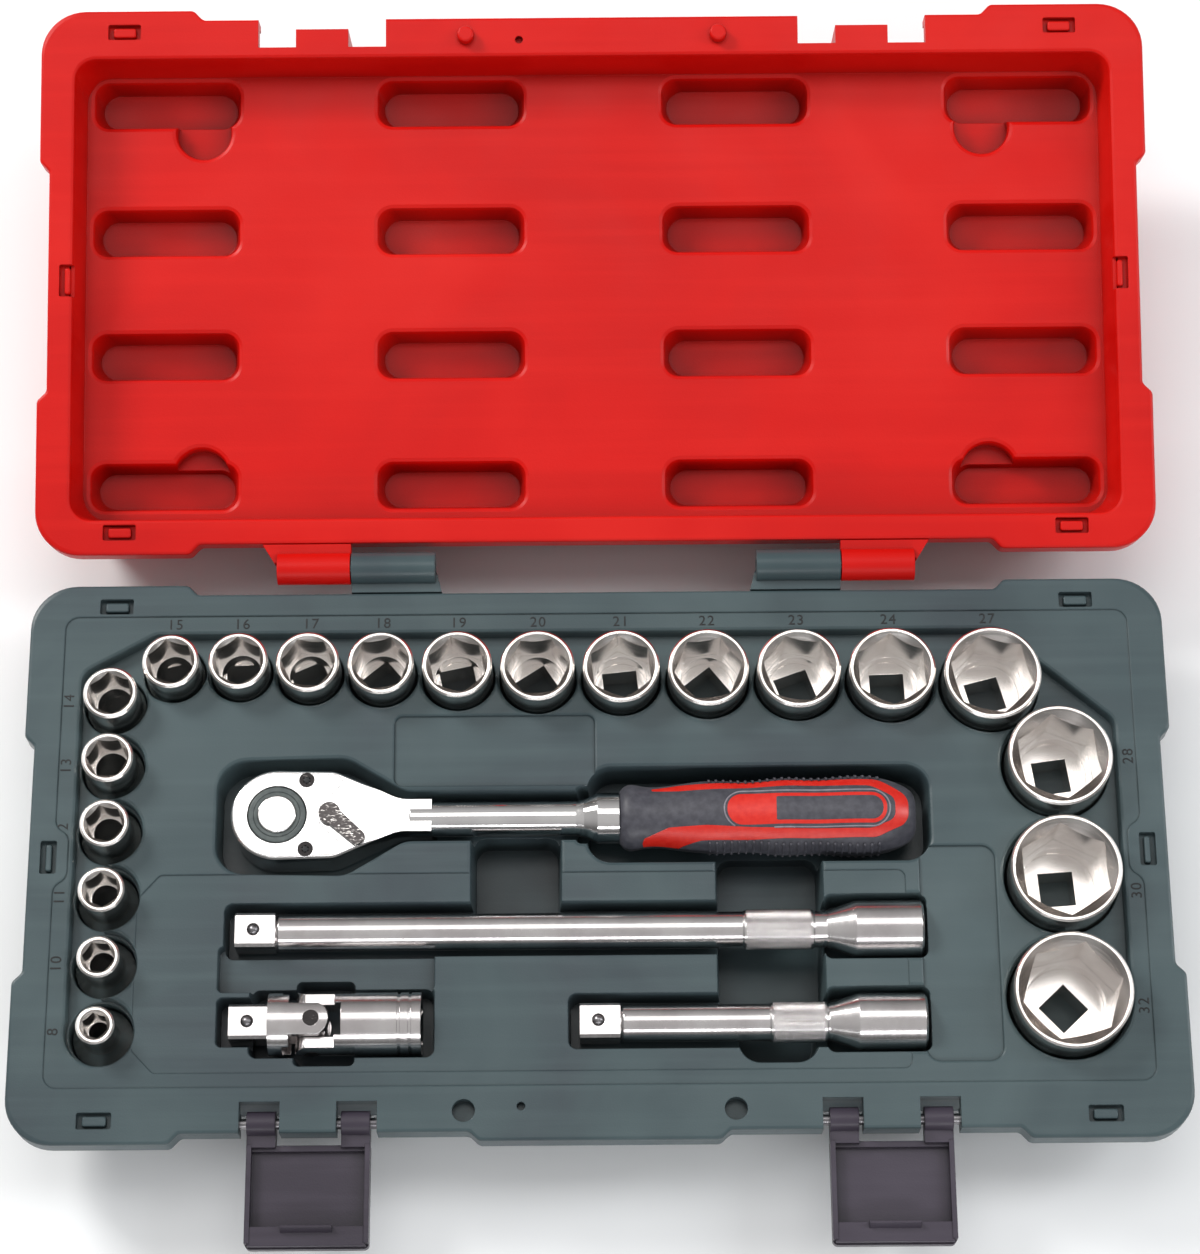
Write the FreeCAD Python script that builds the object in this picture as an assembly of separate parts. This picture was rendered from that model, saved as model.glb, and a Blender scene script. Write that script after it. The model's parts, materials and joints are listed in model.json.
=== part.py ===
import FreeCAD, Part
import math
import os

# Socket wrench set in a two-part moulded case that stands open.
# Millimetres. The origin is the centre of the base's underside: +X right, +Y towards the hinge,
# +Z up. The lid is modelled in its own frame (x, distance from the hinge, height above the
# lid's parting face) and then set at its open angle.

V = FreeCAD.Vector

# ---- case -----------------------------------------------------------------------------------
BASE_HEIGHT = 40.0  # underside to the base's parting face
LID_HEIGHT = 35.0  # lid's parting face to its outer face
TRAY_HALF_X = 192.0  # side walls of the socket channel
TRAY_REAR_Y = 86.5  # rear wall of the socket channel
TRAY_FRONT_Y = -78.0  # front end of the tool pockets
SIDE_BORDER = 20.3  # channel's side wall to the flange's edge
REAR_BORDER = 19.75
PARTING_GAP = 0.4  # between the closed halves
HINGE_STANDOFF = 5.95  # flange's corner edge to the hinge axis
LID_TILT = 12.885  # open lid above the horizontal
CORNER_RADIUS = 17.0
FLANGE_DEPTH = 10.0  # height of the flange's outer edge
SHEET = 3.0  # tray and liner plates, at the parting face
FLANGE_PLATE = 3.0  # the shells' plates, under the tray and the liner
RIM_WALL = 2.5
SKIN = 2.2  # walls of the outer shells
POCKET_WALL = 1.6  # walls of the tray's and liner's pockets
POCKET_LEAN = 0.05  # the pockets narrow downwards by this share of their depth
LINER_LEAN = 0.16
EDGE_ROUND = 1.3  # rounding of the pockets' rims
FLANGE_ROUND = 1.0
PANEL_STEP = 0.6  # the tray's face is a shallow panel inside its border
SMALLEST_RADIUS = 0.3
WELL_ROUND = 0.6
SIDE_STEP = 3.7  # the flange steps in along the middle of its sides
SIDE_STEP_HALF_Y = 43.0
END_STEP = 3.85  # and along most of its front and rear
END_STEP_MARGIN = 62.3  # flange's end to the start of that step
STEP_RAMP = 3.6
FRONT_LIP = 3.4  # finger lip at the middle of the base's front
FRONT_LIP_HALF_X = 43.0
TUB_DRAFT = 3.0
TUB_CORNER = 11.5  # the tubs' upright corners, outside
BASE_TUB_INSET_X = 11.7  # flange's corner edge to the tub's wall
LID_TUB_INSET_X = 9.3
TUB_INSET_FRONT = 15.2
BASE_TUB_INSET_REAR = 15.2
LID_TUB_INSET_REAR = 9.2

# ---- grip, liner and panels -------------------------------------------------------------------
GRIP_RADII = [(8.0, 9.6), (16.0, 11.8), (30.0, 12.4), (44.0, 13.6), (56.0, 13.2), (68.0, 14.4),
              (80.0, 14.0), (92.0, 14.8), (104.0, 14.2), (113.0, 11.0), (117.0, 6.0)]
GRIP_FLATNESS = 0.84
BADGE_X = (47.5, 106.0)
BADGE_HALF = 5.9
BADGE_RIM = 1.4
GRIP_DROP = 12.6  # shank axis to the grip's underside
FINGER_FLOOR = 14.0
PANEL_DEPTH = 1.2
FIELD_DEPTH = 0.5
LINER_DEPTH = 18.0
LINER_SLOT_DEPTH = 11.3
LINER_SLOT_X = (55.3, 165.7)
LINER_SLOT_Y = (35.0, 86.0, 135.0, 186.0)
LINER_SLOT_LONG = 56.0
LINER_SLOT_WIDE = 17.5
LINER_ROUND_X = 151.5
LINER_ROUND_Y = (39.5, 175.0)
LINER_ROUND_RADIUS = 10.5
LINER_ROUND_DEPTH = 7.5
LINER_ROUND = 1.8

# ---- snap hooks, pegs -----------------------------------------------------------------------
WINDOW_LONG = 12.5
WINDOW_SHORT = 6.0
WINDOW_EDGE = 8.6  # window's middle to the flange's corner edge, at the front and rear
SIDE_WINDOW_EDGE = 11.1
WINDOW_FROM_END = 32.1
HOOK_GAP = 1.9  # hook to window's wall, all round
HOOK_RISE = 2.2
PEG_X = 48.6
PEG_FROM_EDGE = 11.35
PEG_RADIUS = 3.25
PEG_LENGTH = 4.0
PEG_CLEARANCE = 0.85
VENT_X = -28.1
VENT_RADIUS = 1.5

# ---- hinge ----------------------------------------------------------------------------------
KNUCKLE_RADIUS = 6.0
KNUCKLE_INNER_X = 60.5
KNUCKLE_SPLIT_X = 92.3
KNUCKLE_OUTER_X = 120.0
KNUCKLE_GAP = 0.4
INNER_FLARE = 5.5
OUTER_FLARE = 9.5
HINGE_PIN_RADIUS = 2.5
RUNNING = 0.08  # radial clearance of pins that turn
SEATED = 0.02  # radial clearance of pins that stay put

# ---- latches --------------------------------------------------------------------------------
LATCH_X = 104.0
LATCH_HALF_WIDTH = 22.0
LATCH_AXIS_FROM_EDGE = 4.3  # axis behind the flange's stepped edge
LATCH_AXIS_DROP = 6.0  # axis under the parting face
LATCH_PIN_RADIUS = 2.0
LATCH_REACH = 36.7  # axis to the hook's catching face
LATCH_LENGTH = 44.2
LATCH_THICKNESS = 6.5  # axis to the latch's outer face
LATCH_PLATE = 4.0
LATCH_WALL = 1.8
LATCH_EAR_RADIUS = 4.5
LATCH_START = 7.6  # axis to the latch's cross bar
HOOK_RAISE = 3.4
HOOK_THICK = 2.4
TONGUE_HALF_WIDTH = 10.1
NOTCH_HALF_WIDTH = 24.6
NOTCH_DEPTH = 11.2  # from the flange's stepped edge
NOSE_RADIUS = 4.2
BOSS_WIDTH = 4.5
LID_TONGUE_SETBACK = 4.1
CATCH_GAP = 0.35

# ---- sockets --------------------------------------------------------------------------------
# size, nose diameter, length
LEFT_SOCKETS = [(14, 20.0, 38.0), (13, 19.0, 38.0), (12, 18.0, 38.0),
                (11, 17.0, 38.0), (10, 15.5, 38.0), (8, 14.0, 38.0)]
REAR_SOCKETS = [(15, 21.0, 38.0), (16, 22.0, 38.0), (17, 23.5, 38.0), (18, 24.5, 38.0),
                (19, 26.0, 38.0), (20, 27.5, 40.0), (21, 28.5, 40.0), (22, 30.0, 40.0),
                (23, 31.0, 40.0), (24, 32.0, 40.0), (27, 36.0, 42.0)]
RIGHT_SOCKETS = [(28, 38.5, 42.0), (30, 40.5, 44.0), (32, 43.0, 44.0)]
# how far a stored socket happens to be turned, in degrees
SOCKET_TURNS = {8: 12, 10: 25, 11: 5, 12: 18, 13: 30, 14: 8, 15: 14, 16: 3, 17: 24, 18: 40,
                19: 12, 20: 33, 21: 6, 22: 38, 23: 20, 24: 2, 27: 15, 28: 8, 30: 4, 32: 43}
DRIVE_END_DIAMETER = 22.0
NOSE_LENGTH = 17.5
SOCKET_RISE = 10.0  # rims stand this far above the parting face
SOCKET_SPACING = 3.06  # between neighbours
RIGHT_SPACING = 3.4
REAR_ROW_MARGIN = 3.1  # sockets' rear edges to the channel's rear wall
REAR_ROW_START = 34.0  # channel's left wall to the first socket's axis
LEFT_COLUMN_MARGIN = 12.2
LEFT_COLUMN_START = 26.3  # channel's rear wall to the first socket's axis
RIGHT_COLUMN_MARGIN = 22.2
RIGHT_COLUMN_START = 53.3
LOBE_CLEARANCE = 1.5
WELL_CLEARANCE = 0.7
CHANNEL_DEPTH = 6.0
REST_GAP = 0.3  # stored pieces over their seats
SQUARE = 12.7
SQUARE_CLEARANCE = 0.1
SQUARE_DEPTH = 16.0
SQUARE_LENGTH = 14.6
HEX_CLEARANCE = 0.1
SOCKET_CHAMFER = 0.7
RIM_LAND = 1.5  # flat ring and chamfer between the outside and the lead-in
LEAD_SLOPE = 1.15  # lead-in's depth over its width
RELIEF_SHARE = 0.46  # round relief's radius over the hexagon's width

# ---- ratchet --------------------------------------------------------------------------------
TOOL_DROP = 6.0  # shank axis under the parting face
RATCHET_Y = 15.0
HEAD_X = -117.7
HEAD_RADIUS = 17.0
HEAD_HEIGHT = 18.5
HEAD_RISE = 8.0  # head's top face over the shank axis
HEAD_STRAIGHT_X = -96.5
NECK_X = -73.0
NECK_LENGTH = 12.0
SHANK_RADIUS = 6.5
FERRULE_X = -3.0
FERRULE_RADIUS = 9.4
FERRULE_LENGTH = 11.0
TANG_RADIUS = 4.5
GRIP_END_X = 117.0
COVER_THICKNESS = 2.0
HEAD_CHAMFER = 0.7
COVER_INSET = 1.0
COVER_END_X = -93.0
COVER_WAIST_X = -103.6  # the cover's far edge is hollow round the lever
COVER_GAP = 0.1
GEAR_RADIUS = 12.0
GEAR_TEETH = 36
TOOTH_DEPTH = 0.8
GEAR_HEIGHT = 10.0
JOURNAL_RADIUS = 10.6
GEAR_CLEARANCE = 0.4
LOWER_LAND = 3.5
SEAL_WIDTH = 1.6
BUTTON_RADIUS = 7.1
BUTTON_HEIGHT = 3.4
BUTTON_TRAVEL = 2.5
BUTTON_SPRING_ROOM = 1.6
BUTTON_PROUD = 0.8
ROD_RADIUS = 2.2
ROD_NECK_RADIUS = 1.25
ROD_NECK_HALF = 2.0
DRIVE_BALL_RADIUS = 2.4
DRIVE_BALL_PROUD = 1.3
SCREW_X = -107.0
SCREW_OFFSET_Y = 13.2
SCREW_HEAD_RADIUS = 2.8
SCREW_RADIUS = 1.3
LEVER_X = -98.3
LEVER_HUB_RADIUS = 4.0
LEVER_SHAFT_RADIUS = 2.4
LEVER_REACH = 16.5
LEVER_REST_ANGLE = -41.8
LEVER_THICKNESS = 2.2
PAWL_SWING = 6.0
PAWL_GAP = 0.45
PAWL_HALF_WIDTH = 6.2

# ---- universal joint, extensions ------------------------------------------------------------
BAR_DROP = 5.5  # axes under the parting face
UJOINT_Y = -62.0
UJOINT_X = -133.3
UJOINT_PIVOT_X = -103.3
UJOINT_END_X = -64.0
UJOINT_RADIUS = 11.3
UJOINT_SHOULDER_X = -119.0
UJOINT_FACE_X = -87.0
FORK_GAP = 5.9  # half the gap between a fork's ears
CROSS_HALF = 5.5
FORK_TIP = 6.2
EAR_HALF_WIDTH = FORK_GAP - 0.2
TIP_SWEEP = math.hypot(FORK_TIP, UJOINT_RADIUS) + 0.3  # what the other fork's ears swing through
CROSS_PIN_RADIUS = 2.9
DETENT_BALL_RADIUS = 2.2
DETENT_BALL_PROUD = 1.1
DETENT_FROM_END = 6.7
DETENT_BORE_DEPTH = 7.5
BAR_END_X = 118.0
LONG_BAR_Y = -28.0
LONG_BAR_LENGTH = 250.0
SHORT_BAR_Y = -62.5
SHORT_BAR_LENGTH = 125.0
BAR_RADIUS = 6.75
BAR_HEAD_RADIUS = 10.3
BAR_HEAD_LENGTH = 24.5
BAR_TAPER_LENGTH = 11.0
LONG_KNURL = (40.0, 65.0)  # from the bar's socket end
SHORT_KNURL = (36.0, 56.0)
KNURL_RAISE = 0.35
BAR_POCKET_CLEARANCE = 2.9
HEAD_POCKET_CLEARANCE = 1.6
END_CLEARANCE = 4.0

# ---- worked out -----------------------------------------------------------------------------
FLANGE_HALF_X = TRAY_HALF_X + SIDE_BORDER
TRAY_FACE = BASE_HEIGHT - PANEL_STEP
FLANGE_HALF_Y = TRAY_REAR_Y + REAR_BORDER
EDGE_Y = FLANGE_HALF_Y - END_STEP
HINGE_Y = FLANGE_HALF_Y + HINGE_STANDOFF
HINGE_Z = BASE_HEIGHT + PARTING_GAP / 2
SHEET_UNDER = BASE_HEIGHT - SHEET
PLATE_UNDER = SHEET_UNDER - FLANGE_PLATE
LATCH_Y = -EDGE_Y + LATCH_AXIS_FROM_EDGE
LATCH_Z = BASE_HEIGHT - LATCH_AXIS_DROP
LID_TONGUE_HEIGHT = LATCH_REACH - LATCH_AXIS_DROP - PARTING_GAP - CATCH_GAP
SHANK_Z = BASE_HEIGHT - TOOL_DROP
HEAD_TOP = SHANK_Z + HEAD_RISE
HEAD_BOTTOM = HEAD_TOP - HEAD_HEIGHT
BAR_Z = BASE_HEIGHT - BAR_DROP
RIM_Z = BASE_HEIGHT + SOCKET_RISE
BALL_LEVEL = HEAD_BOTTOM - SQUARE_LENGTH / 2


# ---- shapes ---------------------------------------------------------------------------------
def box(x0, x1, y0, y1, z0, z1):
    return Part.makeBox(x1 - x0, y1 - y0, z1 - z0, V(x0, y0, z0))


def rod(x, y, z, radius, length, axis="z"):
    """A cylinder that starts at a point and runs along +x, +y or +z."""
    way = {"x": V(1, 0, 0), "y": V(0, 1, 0), "z": V(0, 0, 1)}[axis]
    return Part.makeCylinder(radius, length, V(x, y, z), way)


def fuse(shapes):
    whole = shapes[0].multiFuse(shapes[1:]) if len(shapes) > 1 else shapes[0]
    return whole.removeSplitter()


def cut(shape, tools):
    return shape.cut(tools) if isinstance(tools, list) else shape.cut([tools])


def export(name, shape):
    if shape.ShapeType == "Compound" and len(shape.Solids) == 1:
        shape = shape.Solids[0]
    shape.exportStep("parts/" + name + ".step")
    print(name, len(shape.Solids), "solid", shape.isValid(), round(shape.Volume / 1000, 2), "cm3")


def turn(a, b, c):
    """Signed sine of the turn at b, positive where the outline bends left."""
    first = (b[0] - a[0], b[1] - a[1])
    second = (c[0] - b[0], c[1] - b[1])
    size = math.hypot(*first) * math.hypot(*second)
    return (first[0] * second[1] - first[1] * second[0]) / size


def offset_corners(points, grow):
    """An anticlockwise outline's corners, moved outwards by grow."""
    moved = []
    for i, (x, y) in enumerate(points):
        ax, ay = points[i - 1]
        bx, by = points[(i + 1) % len(points)]
        before = math.hypot(x - ax, y - ay)
        after = math.hypot(bx - x, by - y)
        n1 = ((y - ay) / before, (ax - x) / before)
        n2 = ((by - y) / after, (x - bx) / after)
        share = grow / (1 + n1[0] * n2[0] + n1[1] * n2[1])
        moved.append((x + (n1[0] + n2[0]) * share, y + (n1[1] + n2[1]) * share))
    return moved


def outline(points, radius=0.0, grow=0.0, z=0.0):
    """A closed wire through anticlockwise corners, each rounded by its radius."""
    radii = radius if isinstance(radius, list) else [radius] * len(points)
    corners = offset_corners(points, grow)
    edges = []
    last = first = None
    for i, (x, y) in enumerate(corners):
        a = corners[i - 1]
        b = corners[(i + 1) % len(corners)]
        bend = turn(a, (x, y), b)
        here = V(x, y, z)
        to_a = V(a[0] - x, a[1] - y, 0)
        to_b = V(b[0] - x, b[1] - y, 0)
        size = max(radii[i] + math.copysign(grow, bend), SMALLEST_RADIUS)
        half = to_a.getAngle(to_b) / 2
        room = 0.48 * min(to_a.Length, to_b.Length)
        rounded = radii[i] > 0 and abs(bend) > 0.05
        if rounded:
            setback = min(size / math.tan(half), room)
            size = setback * math.tan(half)
            start = here + to_a.normalize() * setback
            end = here + to_b.normalize() * setback
            middle_way = (to_a + to_b).normalize()
            middle = here + middle_way * (size / math.sin(half) - size)
        else:
            start = end = here
        if last is not None and (start - last).Length > 1e-6:
            edges.append(Part.LineSegment(last, start).toShape())
        if rounded:
            edges.append(Part.Arc(start, middle, end).toShape())
        last = end
        first = first or start
    if (first - last).Length > 1e-6:
        edges.append(Part.LineSegment(last, first).toShape())
    return Part.Wire(edges)


def prism(points, z0, z1, radius=0.0, grow=0.0):
    return Part.Face(outline(points, radius, grow, z0)).extrude(V(0, 0, z1 - z0))


def rectangle(x0, x1, y0, y1):
    return [(x0, y0), (x1, y0), (x1, y1), (x0, y1)]


def tapered(x0, x1, y0, y1, z0, z1, taper, radius):
    """A box with rounded corners whose end at z0 is smaller by taper all round."""
    small = outline(rectangle(x0 + taper, x1 - taper, y0 + taper, y1 - taper), radius, 0, z0)
    large = outline(rectangle(x0, x1, y0, y1), radius, 0, z1)
    return Part.makeLoft([small, large], True, True)


def revolve(profile, centre, axis):
    """A solid of revolution from (radius, height) points, its heights running along axis."""
    points = [V(r, 0, h) for r, h in profile]
    face = Part.Face(Part.makePolygon(points + [points[0]]))
    solid = face.revolve(V(0, 0, 0), V(0, 0, 1), 360)
    if axis == "x":
        solid.rotate(V(0, 0, 0), V(0, 1, 0), 90)
    solid.translate(centre)
    return solid


def hexagon(across_flats, x, y, z0, z1):
    corner = across_flats / math.sqrt(3)
    points = [(x + corner * math.cos(math.radians(60 * k + 30)),
               y + corner * math.sin(math.radians(60 * k + 30))) for k in range(6)]
    return prism(points, z0, z1)


def square_bar(x0, x1, y, z, side, chamfer=1.1):
    """A square bar along x whose four long edges are chamfered."""
    half = side / 2
    bar = box(x0, x1, y - half, y + half, z - half, z + half)
    long_edges = [e for e in bar.Edges if abs(e.Length - (x1 - x0)) < 1e-6 and is_along_x(e)]
    return bar.makeChamfer(chamfer, long_edges)


def is_along_x(edge):
    a, b = (vertex.Point for vertex in edge.Vertexes)
    return abs(a.x - b.x) > 1e-6


def coil(x, y, z, radius, wire, height, turns):
    """A compression spring that stands on a point and fills the height."""
    rise = height - 2 * wire
    helix = Part.makeHelix(rise / turns, rise, radius)
    ring = Part.Wire(Part.makeCircle(wire, V(radius, 0, 0), V(0, 1, 0)))
    spring = Part.Wire(helix).makePipeShell([ring], True, True)
    spring.translate(V(x, y, z + wire))
    return spring


# ---- case halves ----------------------------------------------------------------------------
def flange(z0, z1, grow=0.0, lip=False, ease=0.0):
    """The stepped outline that both halves share, centred on the origin, with its upper edge
    rounded by ease."""
    hx = FLANGE_HALF_X
    hy = FLANGE_HALF_Y
    ex = hx - END_STEP_MARGIN
    ey = hy - END_STEP
    sx = hx - SIDE_STEP
    sy = SIDE_STEP_HALF_Y
    front = [(-ex, -ey), (ex, -ey)]
    if lip:
        lx = FRONT_LIP_HALF_X
        front[1:1] = [(-lx - STEP_RAMP, -ey), (-lx, -ey - FRONT_LIP),
                      (lx, -ey - FRONT_LIP), (lx + STEP_RAMP, -ey)]
    points = [(-hx, -hy), (-ex - STEP_RAMP, -hy)] + front + [(ex + STEP_RAMP, -hy), (hx, -hy)]
    points += [(hx, -sy - STEP_RAMP), (sx, -sy), (sx, sy), (hx, sy + STEP_RAMP), (hx, hy)]
    points += [(ex + STEP_RAMP, hy), (ex, ey), (-ex, ey), (-ex - STEP_RAMP, hy), (-hx, hy)]
    points += [(-hx, sy + STEP_RAMP), (-sx, sy), (-sx, -sy), (-hx, -sy - STEP_RAMP)]
    radii = [CORNER_RADIUS if abs(x) == hx and abs(y) == hy else 3.0 for x, y in points]
    if not ease:
        return prism(points, z0, z1, radii, grow)
    corner = ease * (1 - math.sqrt(0.5))
    levels = [(z0, 0.0), (z1 - ease, 0.0), (z1 - corner, -corner), (z1, -ease)]
    return Part.makeLoft([outline(points, radii, offset, z) for z, offset in levels], True, True)


def flange_frame(top, opening, lip=False):
    """A shell's flange: a plate with a turned-down rim, round an opening."""
    under = top - FLANGE_PLATE
    plate = cut(flange(under, top, 0, lip), prism(opening, under, top, TUB_CORNER - SKIN))
    rim_foot = top + SHEET - FLANGE_DEPTH
    rim = cut(flange(rim_foot, under, 0, lip), flange(rim_foot, under, -RIM_WALL, lip))
    return [plate, rim]


def windows():
    """Middles and half sizes of the six snap windows, about the case's centre."""
    long = WINDOW_LONG / 2
    short = WINDOW_SHORT / 2
    corner_x = FLANGE_HALF_X - WINDOW_FROM_END
    corner_y = FLANGE_HALF_Y - WINDOW_EDGE
    places = [(sx * corner_x, sy * corner_y, long, short) for sx in (-1, 1) for sy in (-1, 1)]
    side_x = FLANGE_HALF_X - SIDE_WINDOW_EDGE
    return places + [(sx * side_x, 0.0, short, long) for sx in (-1, 1)]


def window_cuts(z0, z1):
    return [prism(rectangle(x - hx, x + hx, y - hy, y + hy), z0, z1, 0.8)
            for x, y, hx, hy in windows()]


def snap_hooks(z):
    """The shell's hook noses, which stand in the windows of the tray or the liner."""
    hooks = []
    for x, y, hx, hy in windows():
        hx -= HOOK_GAP
        hy -= HOOK_GAP * 0.6
        nose = prism(rectangle(x - hx, x + hx, y - hy, y + hy), z, z + HOOK_RISE, 0.9)
        top = [e for e in nose.Edges if e.BoundBox.ZMin > z + HOOK_RISE - 0.01]
        hooks.append(nose.makeFillet(0.7, top))
    return hooks


def notch_cuts(y_edge, z0, z1):
    """The slots either side of each latch's tongue; y_edge is the flange's stepped front."""
    cuts = []
    for side in (-1, 1):
        for flank in (-1, 1):
            near = side * LATCH_X + flank * TONGUE_HALF_WIDTH
            far = side * LATCH_X + flank * NOTCH_HALF_WIDTH
            x0, x1 = sorted((near, far))
            y0, y1 = sorted((y_edge * 1.2, y_edge - math.copysign(NOTCH_DEPTH, y_edge)))
            cuts.append(box(x0, x1, y0, y1, z0, z1))
    return cuts


def knuckles(x0, x1, inner_flare, outer_flare, reach, web):
    """Both hinge knuckles of one half, about the x axis, with webs that reach to -y."""
    solids = []
    for side in (-1, 1):
        points = [(x0, 0), (x1, 0), (x1 + outer_flare, -reach), (x0 - inner_flare, -reach)]
        if side < 0:
            points = [(-x, y) for x, y in points]
        else:
            points = points[::-1]
        start = min(side * x0, side * x1)
        solids.append(rod(start, 0, 0, KNUCKLE_RADIUS, x1 - x0, "x"))
        solids.append(prism(points, -web, -PARTING_GAP / 2))
    return solids


def hinge_bores(radius, x0, x1):
    return [rod(min(side * x0, side * x1), 0, 0, radius, x1 - x0, "x") for side in (-1, 1)]


def tub(inset_x, front, rear, depth):
    """An outer shell's tub, open at z = 0 and reaching down by depth, with its lining space."""
    hx = FLANGE_HALF_X - inset_x
    outer = tapered(-hx, hx, -front, rear, -depth, 0, TUB_DRAFT, TUB_CORNER)
    s = SKIN
    inner = tapered(-hx + s, hx - s, -front + s, rear - s, -depth + s, 0.0, TUB_DRAFT,
                    TUB_CORNER - s)
    return outer, inner, rectangle(-hx + s, hx - s, -front + s, rear - s)


def base_outer_shell():
    front = FLANGE_HALF_Y - TUB_INSET_FRONT
    rear = FLANGE_HALF_Y - BASE_TUB_INSET_REAR
    outer, inner, opening = tub(BASE_TUB_INSET_X, front, rear, PLATE_UNDER)
    outer.translate(V(0, 0, PLATE_UNDER))
    inner.translate(V(0, 0, PLATE_UNDER))
    hinge = knuckles(KNUCKLE_INNER_X, KNUCKLE_SPLIT_X - KNUCKLE_GAP / 2, INNER_FLARE, 0,
                     HINGE_Y - rear, KNUCKLE_RADIUS)
    for solid in hinge:
        solid.translate(V(0, HINGE_Y, HINGE_Z))
    above_plate = box(-FLANGE_HALF_X, FLANGE_HALF_X, 0, EDGE_Y + 0.3, SHEET_UNDER, BASE_HEIGHT + 9)
    hinge = [cut(solid, above_plate) for solid in hinge]
    supports = latch_supports(front)
    shell = fuse([cut(outer, inner)] + flange_frame(SHEET_UNDER, opening, True) + hinge
                 + supports + snap_hooks(SHEET_UNDER))
    cuts = notch_cuts(-EDGE_Y, 0, SHEET_UNDER)
    cuts += hinge_bores_at_base() + latch_bores()
    cuts += peg_recesses(SHEET_UNDER - PEG_LENGTH + SHEET - 0.6) + underside_grooves()
    return cut(shell, cuts)


def latch_supports(front):
    """A tongue and two bosses per latch, which hold its pin."""
    solids = []
    for side in (-1, 1):
        x = side * LATCH_X
        foot = LATCH_Z - NOSE_RADIUS
        nose = rod(x - TONGUE_HALF_WIDTH, LATCH_Y, LATCH_Z, NOSE_RADIUS,
                   2 * TONGUE_HALF_WIDTH, "x")
        solids.append(cut(nose, box(x - TONGUE_HALF_WIDTH - 1, x + TONGUE_HALF_WIDTH + 1,
                                    LATCH_Y - NOSE_RADIUS - 1, LATCH_Y + NOSE_RADIUS + 1,
                                    SHEET_UNDER, SHEET_UNDER + NOSE_RADIUS)))
        solids.append(box(x - TONGUE_HALF_WIDTH, x + TONGUE_HALF_WIDTH, LATCH_Y,
                          -front + SKIN / 2, foot, SHEET_UNDER))
        for flank in (-1, 1):
            x0, x1 = sorted((x + flank * NOTCH_HALF_WIDTH,
                             x + flank * (NOTCH_HALF_WIDTH + BOSS_WIDTH)))
            solids.append(box(x0, x1, -EDGE_Y + 0.5, LATCH_Y + NOSE_RADIUS, foot, SHEET_UNDER))
    return solids


def latch_bores():
    length = 2 * (NOTCH_HALF_WIDTH + BOSS_WIDTH - 1)
    return [rod(side * LATCH_X - length / 2, LATCH_Y, LATCH_Z, LATCH_PIN_RADIUS + SEATED,
                length, "x") for side in (-1, 1)]


def hinge_bores_at_base():
    bores = hinge_bores(HINGE_PIN_RADIUS + SEATED, KNUCKLE_INNER_X - 1, KNUCKLE_SPLIT_X)
    for bore in bores:
        bore.translate(V(0, HINGE_Y, HINGE_Z))
    return bores


def peg_recesses(floor):
    y = -FLANGE_HALF_Y + PEG_FROM_EDGE
    return [rod(side * PEG_X, y, floor, PEG_RADIUS + PEG_CLEARANCE, BASE_HEIGHT - floor)
            for side in (-1, 1)]


def underside_grooves():
    """Shallow stiffening grooves in the underside, clear of its middle."""
    long = FLANGE_HALF_X - 50
    return [prism(rectangle(-long, long, y - 3, y + 3), -1, SKIN * 0.45, 2.5)
            for y in (-62.0, -34.0, 34.0, 62.0)]


def lid_place(shape):
    """Takes a shape from the lid's own frame to the open lid."""
    shape.rotate(V(0, 0, 0), V(1, 0, 0), LID_TILT)
    shape.translate(V(0, HINGE_Y, HINGE_Z))
    return shape


def lid_outer_shell():
    face = -PARTING_GAP / 2
    plate_top = face - SHEET
    near = HINGE_Y - FLANGE_HALF_Y + LID_TUB_INSET_REAR
    far = HINGE_Y + FLANGE_HALF_Y - TUB_INSET_FRONT
    outer, inner, opening = tub(LID_TUB_INSET_X, -near, far, LID_HEIGHT - SHEET - FLANGE_PLATE)
    under = plate_top - FLANGE_PLATE
    outer.translate(V(0, 0, under))
    inner.translate(V(0, 0, under))
    frame = flange_frame(plate_top, [(x, y - HINGE_Y) for x, y in opening])
    hooks = snap_hooks(plate_top)
    for solid in frame + hooks:
        solid.translate(V(0, HINGE_Y, 0))
    hinge = knuckles(KNUCKLE_SPLIT_X + KNUCKLE_GAP / 2, KNUCKLE_OUTER_X, 0, OUTER_FLARE,
                     near, KNUCKLE_RADIUS)
    hinge = [solid.mirror(V(0, 0, 0), V(0, 1, 0)) for solid in hinge]
    edge = HINGE_Y - EDGE_Y
    above_plate = box(-FLANGE_HALF_X, FLANGE_HALF_X, edge - 0.3, 99, plate_top, 9)
    hinge = [cut(solid, above_plate) for solid in hinge]
    tongues = []
    for side in (-1, 1):
        x = side * LATCH_X
        tongues.append(box(x - TONGUE_HALF_WIDTH, x + TONGUE_HALF_WIDTH, far - SKIN / 2,
                           HINGE_Y + EDGE_Y, face - LID_TONGUE_HEIGHT, plate_top))
    shell = fuse([cut(outer, inner)] + frame + hooks + hinge + tongues)
    cuts = hinge_bores(HINGE_PIN_RADIUS + RUNNING, KNUCKLE_SPLIT_X, KNUCKLE_OUTER_X + 1)
    cuts += lid_front_cuts(-LID_HEIGHT, plate_top)
    cuts.append(prism(rectangle(-120, 120, HINGE_Y - 48, HINGE_Y + 48), face - LID_HEIGHT - 1,
                      face - LID_HEIGHT + SKIN * 0.45, 10))
    return lid_place(cut(shell, cuts))


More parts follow.
